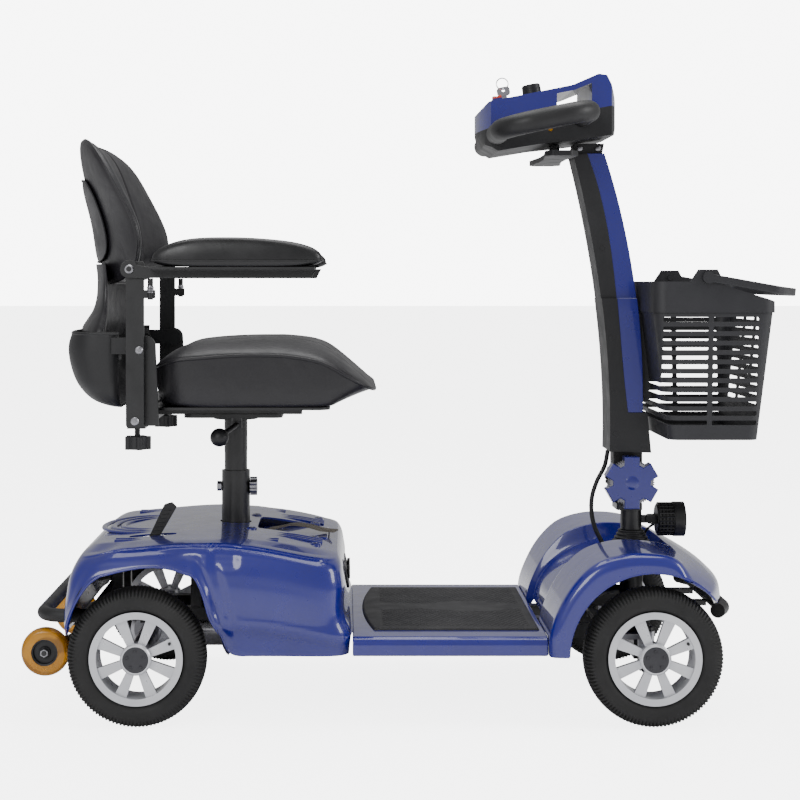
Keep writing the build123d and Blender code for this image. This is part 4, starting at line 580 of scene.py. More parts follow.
def rear_skin(count=420, rows=46, lid_rows=16):
    """Rings up the walls, then rings drawn in to the middle of the lid."""
    u, v = square_ring(count, 12)
    share = np.sin(np.linspace(0, 1, rows) * np.pi / 2)[:, None]
    walls = shell_point(u[None, :] + 0 * share, v[None, :] + 0 * share, share)
    draw = np.linspace(1, 0, lid_rows)[1:, None]
    rim = walls[-1][None]
    middle = np.array([-300.0, 0.0, 0.0])
    lid = middle + (rim - middle) * draw[..., None]
    lid[..., 2] = lid_line(lid[..., 0]) + 1.0 * (1 - draw**2)
    lid[..., 2] = np.where(draw > 0.999, rim[..., 2], lid[..., 2])
    points = np.concatenate([walls, lid])
    return points, grid_quads(len(points), count, close_columns=True)


rear_shell = thin_skin("rear_shell_skin", rear_skin(), 3.0)
post_hole = turned([(0, -30), (24.5, -30), (24.5, 30), (0, 30)], (POST_X, 0, LID_TOP), "Z", 40)
lever_slot = block((-423, -138.5, 235), (-353, -117.5, 275), 4)
bay = block((-236, -64, 215), (-126, 64, 280), 14, 0.5, 48)
bumper_drill = [(0, -20), (11.5, -20), (11.5, 20), (0, 20)]
bumper_holes = [turned(bumper_drill, (-508, y, 150), "X", 24) for y in (-176, 176)]
cut(rear_shell, [post_hole, lever_slot, bay, *bumper_holes])
settle(rear_shell, "blue_gloss", "chassis", ["rear_shroud"], 32)
print("rear shell faces", len(rear_shell.data.polygons))

# %% [markdown]
# ## What is moulded into the shell
# The lid carries long hoop-shaped ridges round the freewheel lever, two pads by
# the post and screw bosses at the front corners. They are swept as flattened
# tubes half sunk in the lid, because a ridge is a path with a rounded section.
# The arch has a black liner inside, as the real one does, to keep spray out.

# %% Ridges, pads, bosses and liners
ridges = []
for k in range(3):
    reach, half = -438 - 9 * k, 48 + 16 * k
    points = [(-306, -half, 257.6), (reach + 14, -half, 257.4), (reach, -half + 14, 256.9),
              (reach, half - 14, 256.9), (reach + 14, half, 257.4), (-306, half, 257.6)]
    ridges.append(tube(curve(points, 70), 4.6, 10, flat=0.62))
for side in (-1, 1):
    for y in (150, 166):
        line = [(-440, side * y, 257.0), (-350, side * y, 257.3), (-200, side * y, 257.0)]
        ridges.append(tube(curve(line, 30), 4.4, 10, flat=0.6))
    for y in (84, 100, 116):
        line = [(-226, side * y, 257.4), (-180, side * y, 254.2), (-136, side * y, 246.2)]
        ridges.append(tube(curve(line, 24), 3.8, 10, flat=0.6))
    ridges.append(block((-296, side * 58 - 12, 252), (-249, side * 58 + 12, 260.5), 6, 2.5))
    for x, y in BOSSES:
        boss = [(0, -4), (9, -4), (8, 2.2), (6, 3.0), (5.6, 1.6), (0, 1.4)]
        ridges.append(turned(boss, (x, side * y, float(lid_line(x))), "Z", 24))
make("rear_shell_ridges", ridges, "blue_gloss", "chassis")

liners = []
for side in (-1, 1):
    x = np.linspace(-497, -268, 60)
    y = np.linspace(238, 176, 8) * side
    gx, gy = np.meshgrid(x, y, indexing="ij")
    upper = np.stack([gx, gy, arch_line(gx) + 1.5], -1)
    lower = upper - np.array([0, 0, 1.6])
    sheet = np.concatenate([upper, lower[:, ::-1], upper[:, :1]], axis=1)
    liners.append((sheet, grid_quads(60, sheet.shape[1])))
make("rear_arch_liners", liners, "black_plastic", "chassis")

trim = []
for side in (-1, 1):
    x = np.linspace(-500, -268, 90)
    edge = shell_point((x - SHELL_MIDDLE) / SHELL_REACH, np.full(90, float(side)), np.zeros(90))
    trim.append(tube(edge + np.array([0, -side * 1.0, 0.6]), 2.1, 10, up=(0, 1, 0)))
make("rear_arch_lips", trim, "blue_gloss", "chassis")

screws = []
for side in (-1, 1):
    for x, y in BOSSES:
        head = [(0, 0.4), (1.5, 0.4), (1.8, 1.2), (3.6, 1.0), (4.0, 0), (4.0, -2), (0, -2)]
        screws.append(turned(head, (x, side * y, float(lid_line(x)) + 1.9), "Z", 14))
make("rear_shell_screws", screws, "black_paint", "chassis")

socket = [turned([(0, 0), (9, 0), (10.5, 1.5), (10.5, 5), (0, 5)], (-99, y, 190), "X", 28) for y in (-34, 34)]
make("charge_sockets", socket, "rubber", "chassis")
print("shell details made")

# %% [markdown]
# ## The front cowl
# The cowl is a skin rolled along one curve, with a foot channel sunk in its
# middle and a flank that drops to each wheel arch. Every column of the grid is a
# mix of two curves, the outer one and the channel's, and the mix is a smooth
# step, which leaves the soft edge that a moulded step has.

# %% Front cowl surface
COWL_LINE = [(191, 101), (191, 128), (205, 170), (227, 206), (256, 233), (296, 246.5), (346, 247.5),
             (392, 238), (426, 222.5), (455, 201), (471, 182), (474, 166)]
CHANNEL_LINE = [(201, 128), (209, 156), (236, 191), (266, 211), (302, 221.5), (384, 222)]
AXLE = np.array([WHEELS["front"], WHEEL_R])
WELL_R = 122
COLUMN_X = 345


def cowl_skin(rows=120):
    """Height by the mixed curves; past the shoulder the skin rolls down and runs straight to the arch."""
    outer = curve(COWL_LINE, rows)
    split = int(np.argmax(outer[:, 0] > 385))
    inner = outer.copy()
    inner[:split] = curve(CHANNEL_LINE, split)
    slope = np.gradient(outer, axis=0)
    normal = np.stack([-slope[:, 1], slope[:, 0]], -1)
    normal /= np.linalg.norm(normal, axis=1, keepdims=True)
    spans = ((0, 82, 14), (82, 94, 9), (94, 226, 22))
    half = np.unique(np.concatenate([np.linspace(*span) for span in spans]))
    columns = []
    for y in half:
        share = float(step(y, 83, 92))
        line = inner + (outer - inner) * share
        columns.append((np.full(rows, y), line))
    for roll in np.radians([15, 32, 50, 68, 84]):
        line = outer - 14 * (1 - np.cos(roll)) * normal
        columns.append((np.full(rows, 226 + 13.5 * np.sin(roll)), line))
    last_y, top = columns[-1]
    arm = top - AXLE
    reach = np.linalg.norm(arm, axis=1, keepdims=True)
    foot = AXLE + arm / reach * np.minimum(WELL_R, reach)
    foot[:, 1] = np.maximum(foot[:, 1], 100)
    for share in (0.12, 0.3, 0.5, 0.7, 0.86, 1.0):
        columns.append((last_y + 0.4, top + (foot - top) * share))
    across = np.stack([y for y, line in columns], 1)
    grid = np.stack([line for y, line in columns], 1)
    x, z = grid[..., 0], grid[..., 1]
    x = x - 54 * (across / 240) ** 2 * step(x, 346, 486) * 1.25
    gap_x, gap_z = x - AXLE[0], z - AXLE[1]
    radius = np.hypot(gap_x, gap_z)
    push = np.where((radius < WELL_R) & (z > 100.5), WELL_R / radius, 1.0)
    x, z = AXLE[0] + gap_x * push, AXLE[1] + gap_z * push
    right = np.stack([x, -across, z], -1)[:, :0:-1]
    left = np.stack([x, across, z], -1)
    points = np.concatenate([right, left], axis=1)
    return points, grid_quads(*points.shape[:2])


front_cowl_skin = thin_skin("front_cowl_skin", cowl_skin(), 2.8)
cut(front_cowl_skin, [turned([(0, -20), (19.5, -20), (19.5, 20), (0, 20)], (COLUMN_X, 0, 222), "Z", 40)])
settle(front_cowl_skin, "blue_gloss", "chassis", ["front_cowl"], 32)

lips = []
for side in (-1, 1):
    angle = np.radians(np.linspace(179, 50, 60))
    lip_x, lip_z = AXLE[:, None] + (WELL_R + 0.5) * np.stack([np.cos(angle), np.sin(angle)])
    lips.append(tube(np.stack([lip_x, np.full(60, side * 238.0), lip_z], -1), 2.0, 10, up=(0, 1, 0)))
make("front_arch_lips", lips, "blue_gloss", "chassis")

wells = []
for side in (-1, 1):
    angle = np.radians(np.linspace(172, 52, 50))[:, None]
    y = (side * np.linspace(236, 190, 6))[None, :]
    outer_wall, inner_wall = (
        np.stack(np.broadcast_arrays(AXLE[0] + r * np.cos(angle), y, AXLE[1] + r * np.sin(angle)), -1)
        for r in (WELL_R + 1.5, WELL_R)
    )
    sheet = np.concatenate([outer_wall, inner_wall[:, ::-1], outer_wall[:, :1]], axis=1)
    wells.append((sheet, grid_quads(50, sheet.shape[1])))
make("front_arch_liners", wells, "black_plastic", "chassis")
print("front cowl faces", len(front_cowl_skin.data.polygons))

# %% [markdown]
# ## Floor mat
# The mat is ribbed rubber: a plain border, two tread panels of small raised
# cells and a smooth waved band between them. It is one height field, and the
# cells are real bumps, since shoes and light both find them.

# %% Floor mat
MAT_BASE = 126.9


def mat_sheet(columns=168, rows=220):
    """Height 3.5, less 1.2 in the panels, plus cells of 1.1 laid like bricks."""
    u = np.linspace(0, 1, columns)[:, None]
    y = np.linspace(-170, 170, rows)[None, :]
    rear = -75 + 15 * (y / 170) ** 2
    x = rear + u * (183 - rear)
    band = through(x, [-49, 20, 90, 171], [30, 22, 44, 20])
    inside = step(np.abs(y), band - 1, band + 1.5) * (1 - step(np.abs(y), 154, 157))
    inside = inside * step(x, -48, -44) * (1 - step(x, 169, 172))
    pitch_x, pitch_y = 8.6, 7.4
    lane = np.floor(y / pitch_y)
    cell_x = (x / pitch_x + 0.5 * (lane % 2)) % 1 - 0.5
    cell_y = (y / pitch_y) % 1 - 0.5
    reach = np.maximum(np.abs(cell_x) * 1.02, np.abs(cell_y) * 0.9 + np.abs(cell_x) * 0.42)
    raised = 1 - step(reach, 0.3, 0.44)
    edge = np.minimum(np.minimum(x - rear, 183 - x), 170 - np.abs(y))
    z = 127.2 + 3.2 * step(edge, -0.1, 2.2) + inside * (1.15 * raised - 1.2)
    top = np.stack([x + 0 * y, y + 0 * x, z], -1)
    low = top.copy()
    low[..., 2] = MAT_BASE
    return top, low


mat_top, mat_low = mat_sheet()
low_edge = edge_of(mat_low)
mat_parts = [(mat_top, grid_quads(*mat_top.shape[:2]))]
middle = 0 * low_edge + (50.0, 0.0, MAT_BASE)
for band in (np.stack([edge_of(mat_top), low_edge]), np.stack([low_edge, middle])):
    mat_parts.append((band, grid_quads(2, band.shape[1], close_columns=True)))
make("floor_mat_tread", mat_parts, "mat_rubber", "chassis", replaces=["floor_mat"], sharp=60)
print("mat cells about 8.6 by 7.4")

# %% [markdown]
# ## Seat cushion
# The cushion is foam under stitched vinyl. Its top is crowned, its front falls
# away in a waterfall, its sides are a deep boxing that tucks under, and a piped
# seam joins the two. A rounded-square grid gives the top, the same grid drawn
# down gives the boxing, and the seams are grooves pressed into the height.

# %% Seat cushion
SEAM_X = [-386, -350, -312, -228, -177, -132, -96, -72, -56]
SEAM_Z = [512, 524, 528, 532, 529, 519, 499, 486, 478]


def wrinkle(a, b, size):
    """Slow creases that add up from three waves crossing at odd angles."""
    return size * (np.sin(a / 17 + b / 29) + np.sin(a / 41 - b / 23 + 1.3) + 0.6 * np.sin(b / 13 + 0.4)) / 2.6


def seat_skin(columns=150, rows=180):
    """Top: seam height plus a crown of (1 - r^3.4)^0.62. Underside: the same outline, down and drawn in."""
    u, v, ring = pad_grid(columns, rows, 6.5)
    x = -221.0 + 164.0 * u
    y = v * (196.0 - 3.0 * np.cos(u * np.pi / 2))
    seam = through(x, SEAM_X, SEAM_Z)
    crown = through(x, [-386, -340, -240, -150, -100, -56], [20, 25, 23, 24, 22, 12])
    lift = np.clip(1 - ring**3.4, 0, 1) ** 0.62
    z = seam + crown * lift
    groove_y = 88 + 10 * step(x, -250, -80)
    z = z - 2.6 * np.exp(-(((np.abs(y) - groove_y) / 2.6) ** 2)) * step(lift, 0.1, 0.5)
    z = z - 2.2 * np.exp(-(((x + 118) / 2.8) ** 2)) * (1 - step(np.abs(y), groove_y - 2, groove_y + 1))
    z = z + wrinkle(x, y, 1.0) * lift - 5 * np.exp(-((x + 300) / 70) ** 2 - (y / 120) ** 2)
    top = np.stack([x, y, z], -1)
    reach = np.where(ring > 0, ring, 1)
    tuck = np.clip((1 - ring) / 0.3, 0, 1)
    scale = np.where(ring > 0.7, 1 - 0.015 * tuck - 0.07 * tuck**3, 0.915 * ring / 0.7)
    low_u, low_v = u / reach * scale, v / reach * scale
    low_x = -221.0 + 164.0 * low_u - 62 * step(tuck, 0.0, 1.0) * np.clip(low_u, 0, 1) ** 3
    low_y = low_v * (196.0 - 3.0 * np.cos(low_u * np.pi / 2))
    low_x = np.where(ring > 0.999, x, low_x)
    low_y = np.where(ring > 0.999, y, low_y)
    belly = through(x, [-386, -150, -56], [455, 455, 457])
    low_z = seam + (belly - seam) * np.sin(tuck * np.pi / 2) ** 1.15
    low_z = np.where(ring > 0.999, z, low_z)
    low = np.stack([low_x, low_y, low_z + 0.7 * wrinkle(low_x, low_z * 3, 1.0) * step(tuck, 0, 0.4)], -1)
    low[..., 2] = np.where(ring > 0.999, z, np.maximum(low[..., 2], 454.6))
    return top, low


seat_top, seat_low = seat_skin()
seat_pad = make("seat_cushion_vinyl", two_faces(seat_top, seat_low), "vinyl", "seat",
                replaces=["seat_cushion"], sharp=70)
piping = tube(edge_of(seat_top) + np.array([0, 0, -1.0]), 2.6, 10, closed=True)
make("seat_piping", [piping], "vinyl", "seat")
print("seat crown reaches", round(float(seat_top[..., 2].max()), 1))

# %% [markdown]
# ## Backrest
# The backrest wraps the sitter: its face is an arc in plan and leans back as it
# rises. Front pad, rear shell and the map pouch are all pillows on the same two
# lines, one for the lean and one for the wrap, which is why they nest.

# %% Backrest pad, shell, pouch and neck
def lean(z):
    """Rear face of the backrest on the centre plane, by height."""
    return through(z, [560, 634, 714, 790, 863], [-478, -480, -487, -505, -521])


def wrap(y, z):
    """How far the sides come forward of the middle, less towards the top."""
    return y**2 / 600.0 * (1 - 0.35 * step(z, 700, 850))


def back_pillow(low, high, half, back, front, roundness=4.2, columns=150, rows=110, seams=()):
    """A closed pad: y across, z up, and x from the lean and wrap plus or minus a rounded thickness."""
    v, u, ring = pad_grid(columns, rows, roundness)
    z = (low + high) / 2 + u * (high - low) / 2
    y = v * half * (1 - 0.06 * step(z, 700, 870))
    puff = np.clip(1 - ring**4.5, 0, 1) ** 0.55
    base = lean(z) + wrap(y, z)
    x_front = base + back[0] + front * puff + wrinkle(y, z, 0.7) * puff
    for line, depth in seams:
        groove = np.exp(-(((np.abs(y) - through(z, *line)) / 2.5) ** 2))
        x_front = x_front - depth * groove * step(puff, 0.1, 0.5)
    x_back = base + back[0] - back[1] * puff
    x_back = np.where(ring > 0.999, x_front, x_back)
    return np.stack([x_front, y, z], -1), np.stack([x_back, y, z], -1)


panel_seam = (([620, 700, 790, 860], [88, 88, 80, 62]), 2.8)
face, rear = back_pillow(636, 852, 203, (14.0, 1.2), 29.0, seams=[panel_seam])
back_pad = make("backrest_vinyl", two_faces(face, rear), "vinyl", "backrest",
                replaces=["backrest_cushion"], sharp=70)
make("backrest_piping", [tube(edge_of(face), 2.6, 10, up=(1, 0, 0), closed=True)], "vinyl", "backrest")

face, rear = back_pillow(634, 853, 203.5, (11.5, 11.0), 1.0, columns=90, rows=70)
shell_parts = two_faces(face, rear)
levels = np.array([552, 560, 568, 580, 594, 610, 628, 646, 664])
neck_rear = [-503, -507, -507, -500, -491, -486, -484, -484, -486]
neck_front = [-476, -474, -472, -470, -469, -468, -468, -469, -472]
neck_half = [182, 184, 182, 174, 163, 155, 151, 152, 158]
fine = np.linspace(552, 664, 40)
rear_line, front_line, half_line = (
    through(fine, levels, line)[:, None] for line in (neck_rear, neck_front, neck_half)
)
u, v = square_ring(120, 3.2)
neck_x = (rear_line + front_line) / 2 + (front_line - rear_line) / 2 * u + wrap(half_line * v, 0 * v) * 0.55
neck = np.stack([neck_x, half_line * v, fine[:, None] + 0 * u], -1)
lower_end, upper_end = (ring * (0, 0, 1) + (x, 0, 0) for ring, x in ((neck[:1], -490), (neck[-1:], -478)))
neck = np.concatenate([lower_end, neck, upper_end])
shell_parts.append((neck, grid_quads(len(neck), 120, close_columns=True)))
make("backrest_shell_vinyl", shell_parts, "vinyl", "backrest", sharp=60)

face, rear = back_pillow(668, 792, 138, (-1.5, 5.0), 1.0, 5.0, 70, 60)
make("backrest_pouch", two_faces(face, rear), "vinyl", "backrest", sharp=60)
pouch_edge = edge_of(face) + (-1.5, 0, 0)
make("backrest_pouch_piping", [tube(pouch_edge, 1.7, 8, up=(1, 0, 0), closed=True)], "vinyl", "backrest")

# the bucket is a scoop: its middle line, and a squared U in plan at every level, open in front and on top
scoop = curve([(-509, 0, 562), (-514, 0, 545), (-511, 0, 515), (-499, 0, 487), (-478, 0, 466), (-452, 0, 457),
               (-431, 0, 455)], 48)
turn = np.linspace(0, np.pi, 120)
mouth_x, squareness = -430, 0.45
tuck = np.clip((492 - scoop[:, 2]) / 37, 0, 1)
half_width = 158 + 40 * np.sqrt(1 - tuck**2)
across_bowl = np.sign(np.cos(turn)) * np.abs(np.cos(turn)) ** squareness
bowl = np.stack([mouth_x + (scoop[:, 0] - mouth_x)[:, None] * np.sin(turn) ** squareness,
                 half_width[:, None] * across_bowl, scoop[:, 2][:, None] + 0 * turn], -1)
bucket = make("backrest_bucket", [(bowl, grid_quads(*bowl.shape[:2]))], "black_plastic", "backrest",
              ["backrest_shell"], 50)
shell_wall = bucket.modifiers.new("wall", "SOLIDIFY")
shell_wall.thickness, shell_wall.offset = 4 * MM, 0
make("backrest_bucket_rim", [tube(bowl[0], 3.0, 10)], "black_plastic", "backrest")
arms = cad_copy("backrest_arms", "backrest_shell")
cut(arms, [block((-441, y, 525), (-370, y + 26, 565), 40, 0.1) for y in (-214, 188)], "INTERSECT")
settle(arms, "black_plastic", "backrest")
soften(arms, 1.0)
print("backrest made")

# %% [markdown]
# ## Armrest pads
# Each pad is skinned polyurethane foam: a crowned bean on a flat base, with a
# thin rim where the two halves of its mould met.

# %% Armrest pads
PAD_BASE = 668


def arm_pad(side, columns=110, rows=44):
    """Crown by (1 - r^7)^0.42 over an oblong, and a flat base with a rounded lower edge."""
    u, v, ring = pad_grid(columns, rows, 3.6)
    x = -255.0 + 121.3 * u
    y = side * (249.0 + 24.8 * v)
    crown = through(x, [-377, -330, -265, -193, -133], [688, 698, 701, 697, 689])
    puff = np.clip(1 - ring**7, 0, 1) ** 0.42
    z = PAD_BASE + (crown - PAD_BASE) * puff
    top = np.stack([x, y, z], -1)
    tuck = np.clip((1 - ring) / 0.25, 0, 1)
    low = np.stack([x, y, PAD_BASE - 8.6 * np.sin(tuck * np.pi / 2) ** 0.6], -1)
    return top, low


for side_name, side in SIDES.items():
    top, low = arm_pad(side)
    arm, post = f"armrest_{side_name}", f"armrest_post_{side_name}"
    pad = make(f"armrest_foam_{side_name}", two_faces(top, low), "urethane", arm,
               replaces=[f"armrest_pad_{side_name}"], sharp=70)
    make(f"armrest_rim_{side_name}", [tube(edge_of(top), 1.3, 8, closed=True)], "urethane", arm)
    bolts = []
    for x, z, radius in ((-397, 540, 5.5), (-403, 438, 6)):
        head = [(0, 3.4), (2.2, 3.4), (2.6, 2.4), (radius - 1, 2.2), (radius, 1.2), (radius, -1), (0, -1)]
        bolts.append(stud(head, (x, side * 228, z), side, 18))
    make(f"armrest_bolts_{side_name}", bolts, "steel", post)
    pivot = stud([(0, 3.4), (5, 3.2), (6.4, 1.8), (6.4, -1), (0, -1)], (-410.5, side * 233.5, 656), side, 18)
    make(f"armrest_pivot_bolt_{side_name}", [pivot], "steel", post)
    pitch = [(4.1, -6), (5.2, -6), (5.2, -4.6), (4.4, -4)]
    thread = [(r, h + 2.2 * k) for k in range(4) for r, h in pitch]
    screw = turned([(0, -7), *thread, (4.1, 4), (0, 4)], (-380.6, side * 228, 628), "Z", 16)
    make(f"armrest_stop_screw_{side_name}", [screw], "steel", post)
print("two armrests")

# %% [markdown]
# ## Steering boot, lamp and star knob
# The boot is a rubber bellows, so its profile is a cone with a wave on it. The
# lamp has a clear lens over a bright bowl. The clamp knob is blue with grey
# ribbed grips between its lobes, made as a ring whose radius ripples.

# %% Boot, lamp and knob
BOOT_LOW, BOOT_TOP, BOOT_BORE = 222.2, 251.0, 13.0


def ribbed(radius, rib, teeth, power, count, levels, sizes):
    """A closed ribbed ring about Z: the radius ripples, and each level has its own size."""
    turn = np.linspace(0, 2 * np.pi, count, endpoint=False)
    wave = np.sin(teeth * turn)
    ripple = radius + rib * np.sign(wave) * np.abs(wave) ** power
    levels, sizes = np.array(levels)[:, None], np.array(sizes)[:, None]
    points = np.stack([sizes * ripple * np.cos(turn), sizes * ripple * np.sin(turn), levels + 0 * turn], -1)
    return points, grid_quads(len(levels), count, close_columns=True)


drop = np.linspace(0, 1, 60)
cone = 35.6 - 16.6 * drop**0.85 + 1.5 * np.sin(drop * 2 * np.pi * 5.5) * (1 - 0.5 * drop)
boot = np.stack([cone, BOOT_LOW + (BOOT_TOP - BOOT_LOW) * drop], -1)
profile = np.concatenate([[(BOOT_BORE, BOOT_LOW)], boot, [(BOOT_BORE, BOOT_TOP)], [(BOOT_BORE, BOOT_LOW)]])
make("steering_bellows", [turned(profile, (COLUMN_X, 0, 0), "Z", 72)], "rubber", "chassis",
     replaces=["steering_boot"], sharp=60)

lamp = (427, 0, 267)
lens = [(0, 0.6), (10, 0.2), (17, -0.8), (21.4, -2.2), (21.6, -3.2), (0, -3.0)]
make("lamp_lens", [turned(lens, lamp, "X", 48)], "lens_clear", "headlight")
dish_radius = np.linspace(0, 20.5, 16)
dish = [*zip(dish_radius, -2.96 + 0.5 * (dish_radius / 20.5) ** 2), (21, -3.2), (0, -3.4)]
make("lamp_bowl", [turned(dish, lamp, "X", 40)], "chrome", "headlight")
fins = []
for a in np.linspace(0, 2 * np.pi, 26, endpoint=False):
    y, z = 24.6 * np.cos(a), lamp[2] + 24.6 * np.sin(a)
    fins.append(tube([(x, y, z) for x in (386.0, 397.0, 409.0)], 1.5, 6, up=(0, -np.sin(a), np.cos(a))))
make("lamp_fins", fins, "lamp_black", "headlight")

PIVOT_X, PIVOT_Z = 337.5, 329.5
depths = [-34.8, -34.8, -35.6, -56.0, -56.9, -56.9]
ribs, rib_faces = ribbed(34.0, 1.1, 60, 0.5, 360, depths, [0, 0.96, 1, 1, 0.97, 0])
ribs = ribs[..., [0, 2, 1]] + (PIVOT_X, 0, PIVOT_Z)
make("knob_grips", [(ribs, rib_faces)], "rib_grey", "star_knob", sharp=20)
hub = [(0, -1.6), (5, -1.5), (9, -0.9), (12, 0.4), (0, 0.6)]
make("knob_boss", [turned(hub, (PIVOT_X, -58.1, PIVOT_Z), "Y", 32)], "blue_gloss", "star_knob")
print("boot, lamp and knob made")

# %% [markdown]
# ## Dash details
# Small things tell the size of a dash: a key on its ring, a rocker switch, a
# knurled speed dial, bolts under the head and a small amber charge light.

# %% Dash
TILT = math.radians(10.6)
DASH_X, DASH_Z = 178, 923


def on_dash(points):
    """Points given along, across and above the sloping dash, in the scooter's own frame."""
    x, y, z = np.moveaxis(np.asarray(points, float), -1, 0)
    cosine, sine = math.cos(TILT), math.sin(TILT)
    return np.stack([DASH_X + x * cosine - z * sine, y, DASH_Z + x * sine + z * cosine], -1)


def tilted(profile, x, y):
    """A turned part standing square on the dash."""
    points, faces = turned(profile, (x, y, 0), "Z", 32)
    return on_dash(points), faces


turn = np.linspace(0, 2 * np.pi, 40, endpoint=False)
ring = np.stack([9.0 * np.cos(turn), 1.2 * np.sin(turn), 2 + 9.0 * np.sin(turn)], -1)
ring = ring + on_dash((-34, -40, 24.0))
make("key_ring", [tube(ring, 0.9, 8, up=(0, 1, 0), closed=True)], "chrome", "key")
collar = [(7.2, -0.5), (10, -0.5), (10, 1.2), (9, 2), (7.2, 2), (7.2, -0.5)]
make("lock_collar", [tilted(collar, -34, -40)], "chrome", "tiller")
horn_collar = [(8.7, -0.5), (11, -0.5), (11, 1.4), (10, 2), (8.7, 2), (8.7, -0.5)]
make("horn_collar", [tilted(horn_collar, -34, 40)], "black_plastic", "tiller")
rocker, rocker_faces = block((-55, -71, 2.4), (-41, -53, 6.2), 6, 1.2)
rocker[..., 2] += 1.6 * np.abs(rocker[..., 0] + 48) / 7 * (rocker[..., 2] > 4)
make("rocker_switch", [(on_dash(rocker), rocker_faces)], "switch_red", "tiller")
dial_levels = [3.6, 3.6, 4.2, 15.6, 16.2, 16.2]
dial, dial_faces = ribbed(14.2, 0.5, 36, 0.6, 216, dial_levels, [0, 0.96, 1, 1, 0.96, 0])
make("speed_dial_grip", [(on_dash(dial + (14, 0, 0)), dial_faces)], "black_plastic", "speed_knob", sharp=20)

bolts = []
for side in (-1, 1):
    for x, z in ((262, 844), (290, 844)):
        head = [(0, 3), (3, 3), (4.4, 2.2), (4.6, 0), (4.6, -4), (0, -4)]
        bolts.append(stud(head, (x, side * 22.2, z), side, 6))
make("head_bracket_bolts", bolts, "steel", "tiller")
holes = []
for side in (-1, 1):
    for x, y, z in ((308, 40, 552), (313, 40, 468), (316, 40, 402), (296, 33, 690)):
        plug = [(0, -0.8), (3.4, -0.8), (3.8, 0.35), (4.6, 0.35), (4.8, 0), (4.8, -2), (0, -2)]
        holes.append(stud(plug, (x, side * y, z), side, 20))
make("tiller_screws", holes, "black_paint", "tiller")
light = stud([(0, 1.4), (3.2, 1.4), (3.6, 0.4), (3.6, -3), (0, -3)], (209, -86.2, 869), -1, 16)
make("charge_light", [light], "amber", "tiller")
print("dash details made")

# %% [markdown]
# ## Anti-tip wheels, freewheel grip and strap
# The small wheels are poured amber urethane on black cores. The lever has a
# ribbed grip. The webbing strap is flat and woven, so it is laid as a ribbon
# along its own path with a hem at each end.

# %% Small wheels, grip, strap and cables
for side_name, side in SIDES.items():
    centre = np.array([-544.0, side * 150.0, 92.0])
    round_part = np.linspace(-np.pi / 2, np.pi / 2, 14)
    crown = np.stack([28 + 7.9 * np.cos(round_part) ** 0.8, 11.8 * np.sin(round_part)], -1)
    profile = np.concatenate([[(19.5, -11.8)], crown, [(19.5, 11.8)], [(19.5, -11.8)]])
    wheel = f"anti_tip_wheel_{side_name}"
    make(f"anti_tip_tyre_{side_name}", [turned(profile, centre, "Y", 64)], "amber", wheel, replaces=[wheel])
    core = [(4.2, -9), (8, -9), (9, -6), (16, -6), (17, -10), (19.8, -11)]
    core = core + [(radius, -height) for radius, height in core[::-1]] + core[:1]
    make(f"anti_tip_core_{side_name}", [turned(core, centre, "Y", 48)], "black_plastic", wheel)
    bolt = stud([(0, 3), (3, 3), (6, 2.4), (7, 0.6), (7, -1), (0, -1)], centre + (0, side * 12.6, 0), side, 6)
    make(f"anti_tip_bolt_{side_name}", [bolt], "steel", "chassis")

ribs = []
for k in range(7):
    spot = np.array([-383.5 + 3.1 * k, -128, 263.0 + 6.0 * k])
    ribs.append(block(spot + (-7.4, -9.2, -0.8), spot + (7.2, 9.2, 1.0), 5, 0.6, 20))
make("freewheel_grip", ribs, "rubber", "freewheel_lever")

STRAP = [(-222, 16, 248.2), (-205, 11, 251.5), (-182, 4, 257), (-158, -4, 255.5), (-136, -11, 250.6),
         (-116, -17, 249.4)]
STRAP_THICK = 2.2
across = np.linspace(-12.5, 12.5, 16)
ribbon_low = curve(STRAP, 60)[:, None] + across[None, :, None] * np.array([0.28, 0.96, 0])
cords = 0.25 * np.cos(across * 1.2)[None, :, None]
ribbon_top = ribbon_low + (STRAP_THICK + cords) * np.array([0, 0, 1])
loop = np.concatenate([ribbon_low, ribbon_top[:, ::-1]], axis=1)
hems = [end.mean(1, keepdims=True) + 0 * end for end in (loop[:1], loop[-1:])]
loop = np.concatenate([hems[0], loop, hems[1]])
make("battery_pull_strap", [(loop, grid_quads(len(loop), loop.shape[1], close_columns=True))], "webbing",
     "chassis", replaces=["battery_strap"], sharp=50)

HARNESS = [(309, 0, 374.5), (304, 0, 350), (292, 0, 326), (284, 0, 300), (284, 0, 273), (290, 0, 250),
           (298, 0, 234), (303, 0, 223)]
LAMP_LEAD = [(382.5, 15, 256), (377, 20, 251), (373, 27, 244), (372, 35, 236), (375, 42, 224)]
harness, lead = curve(HARNESS, 90), curve(LAMP_LEAD, 50)
upper, lower = harness[:45], harness[44:]
pieces = [
    ("harness_upper", upper, 3.5, "steering_column", "tiller", upper[-1], upper[0]),
    ("harness_lower", lower, 3.5, "chassis", "steering_column", lower[-1], lower[0]),
    ("lamp_lead_upper", lead[:25], 2.0, "steering_column", "headlight", lead[24], lead[0]),
    ("lamp_lead_lower", lead[24:], 2.0, "chassis", "steering_column", lead[-1], lead[24]),
]
for name, line, radius, first, second, start, end in pieces:
    up = (0, 1, 0) if name.startswith("harness") else (1, 0.3, 0)
    wire = make(name, [tube(line, radius, 14, up=up)], "rubber", None)
    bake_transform(wire)
    if name == "harness_upper":
        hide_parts("cables")
print("harness", round(float(np.linalg.norm(np.diff(harness, axis=0), axis=1).sum())), "mm long")

# %% [markdown]
# ## Studio
# A pale floor, a pale sky and three soft lamps, as for a catalogue. The camera
# stands 2.7 m to the scooter's right, level, with the lens shifted down and
# forward, so upright edges stay upright.

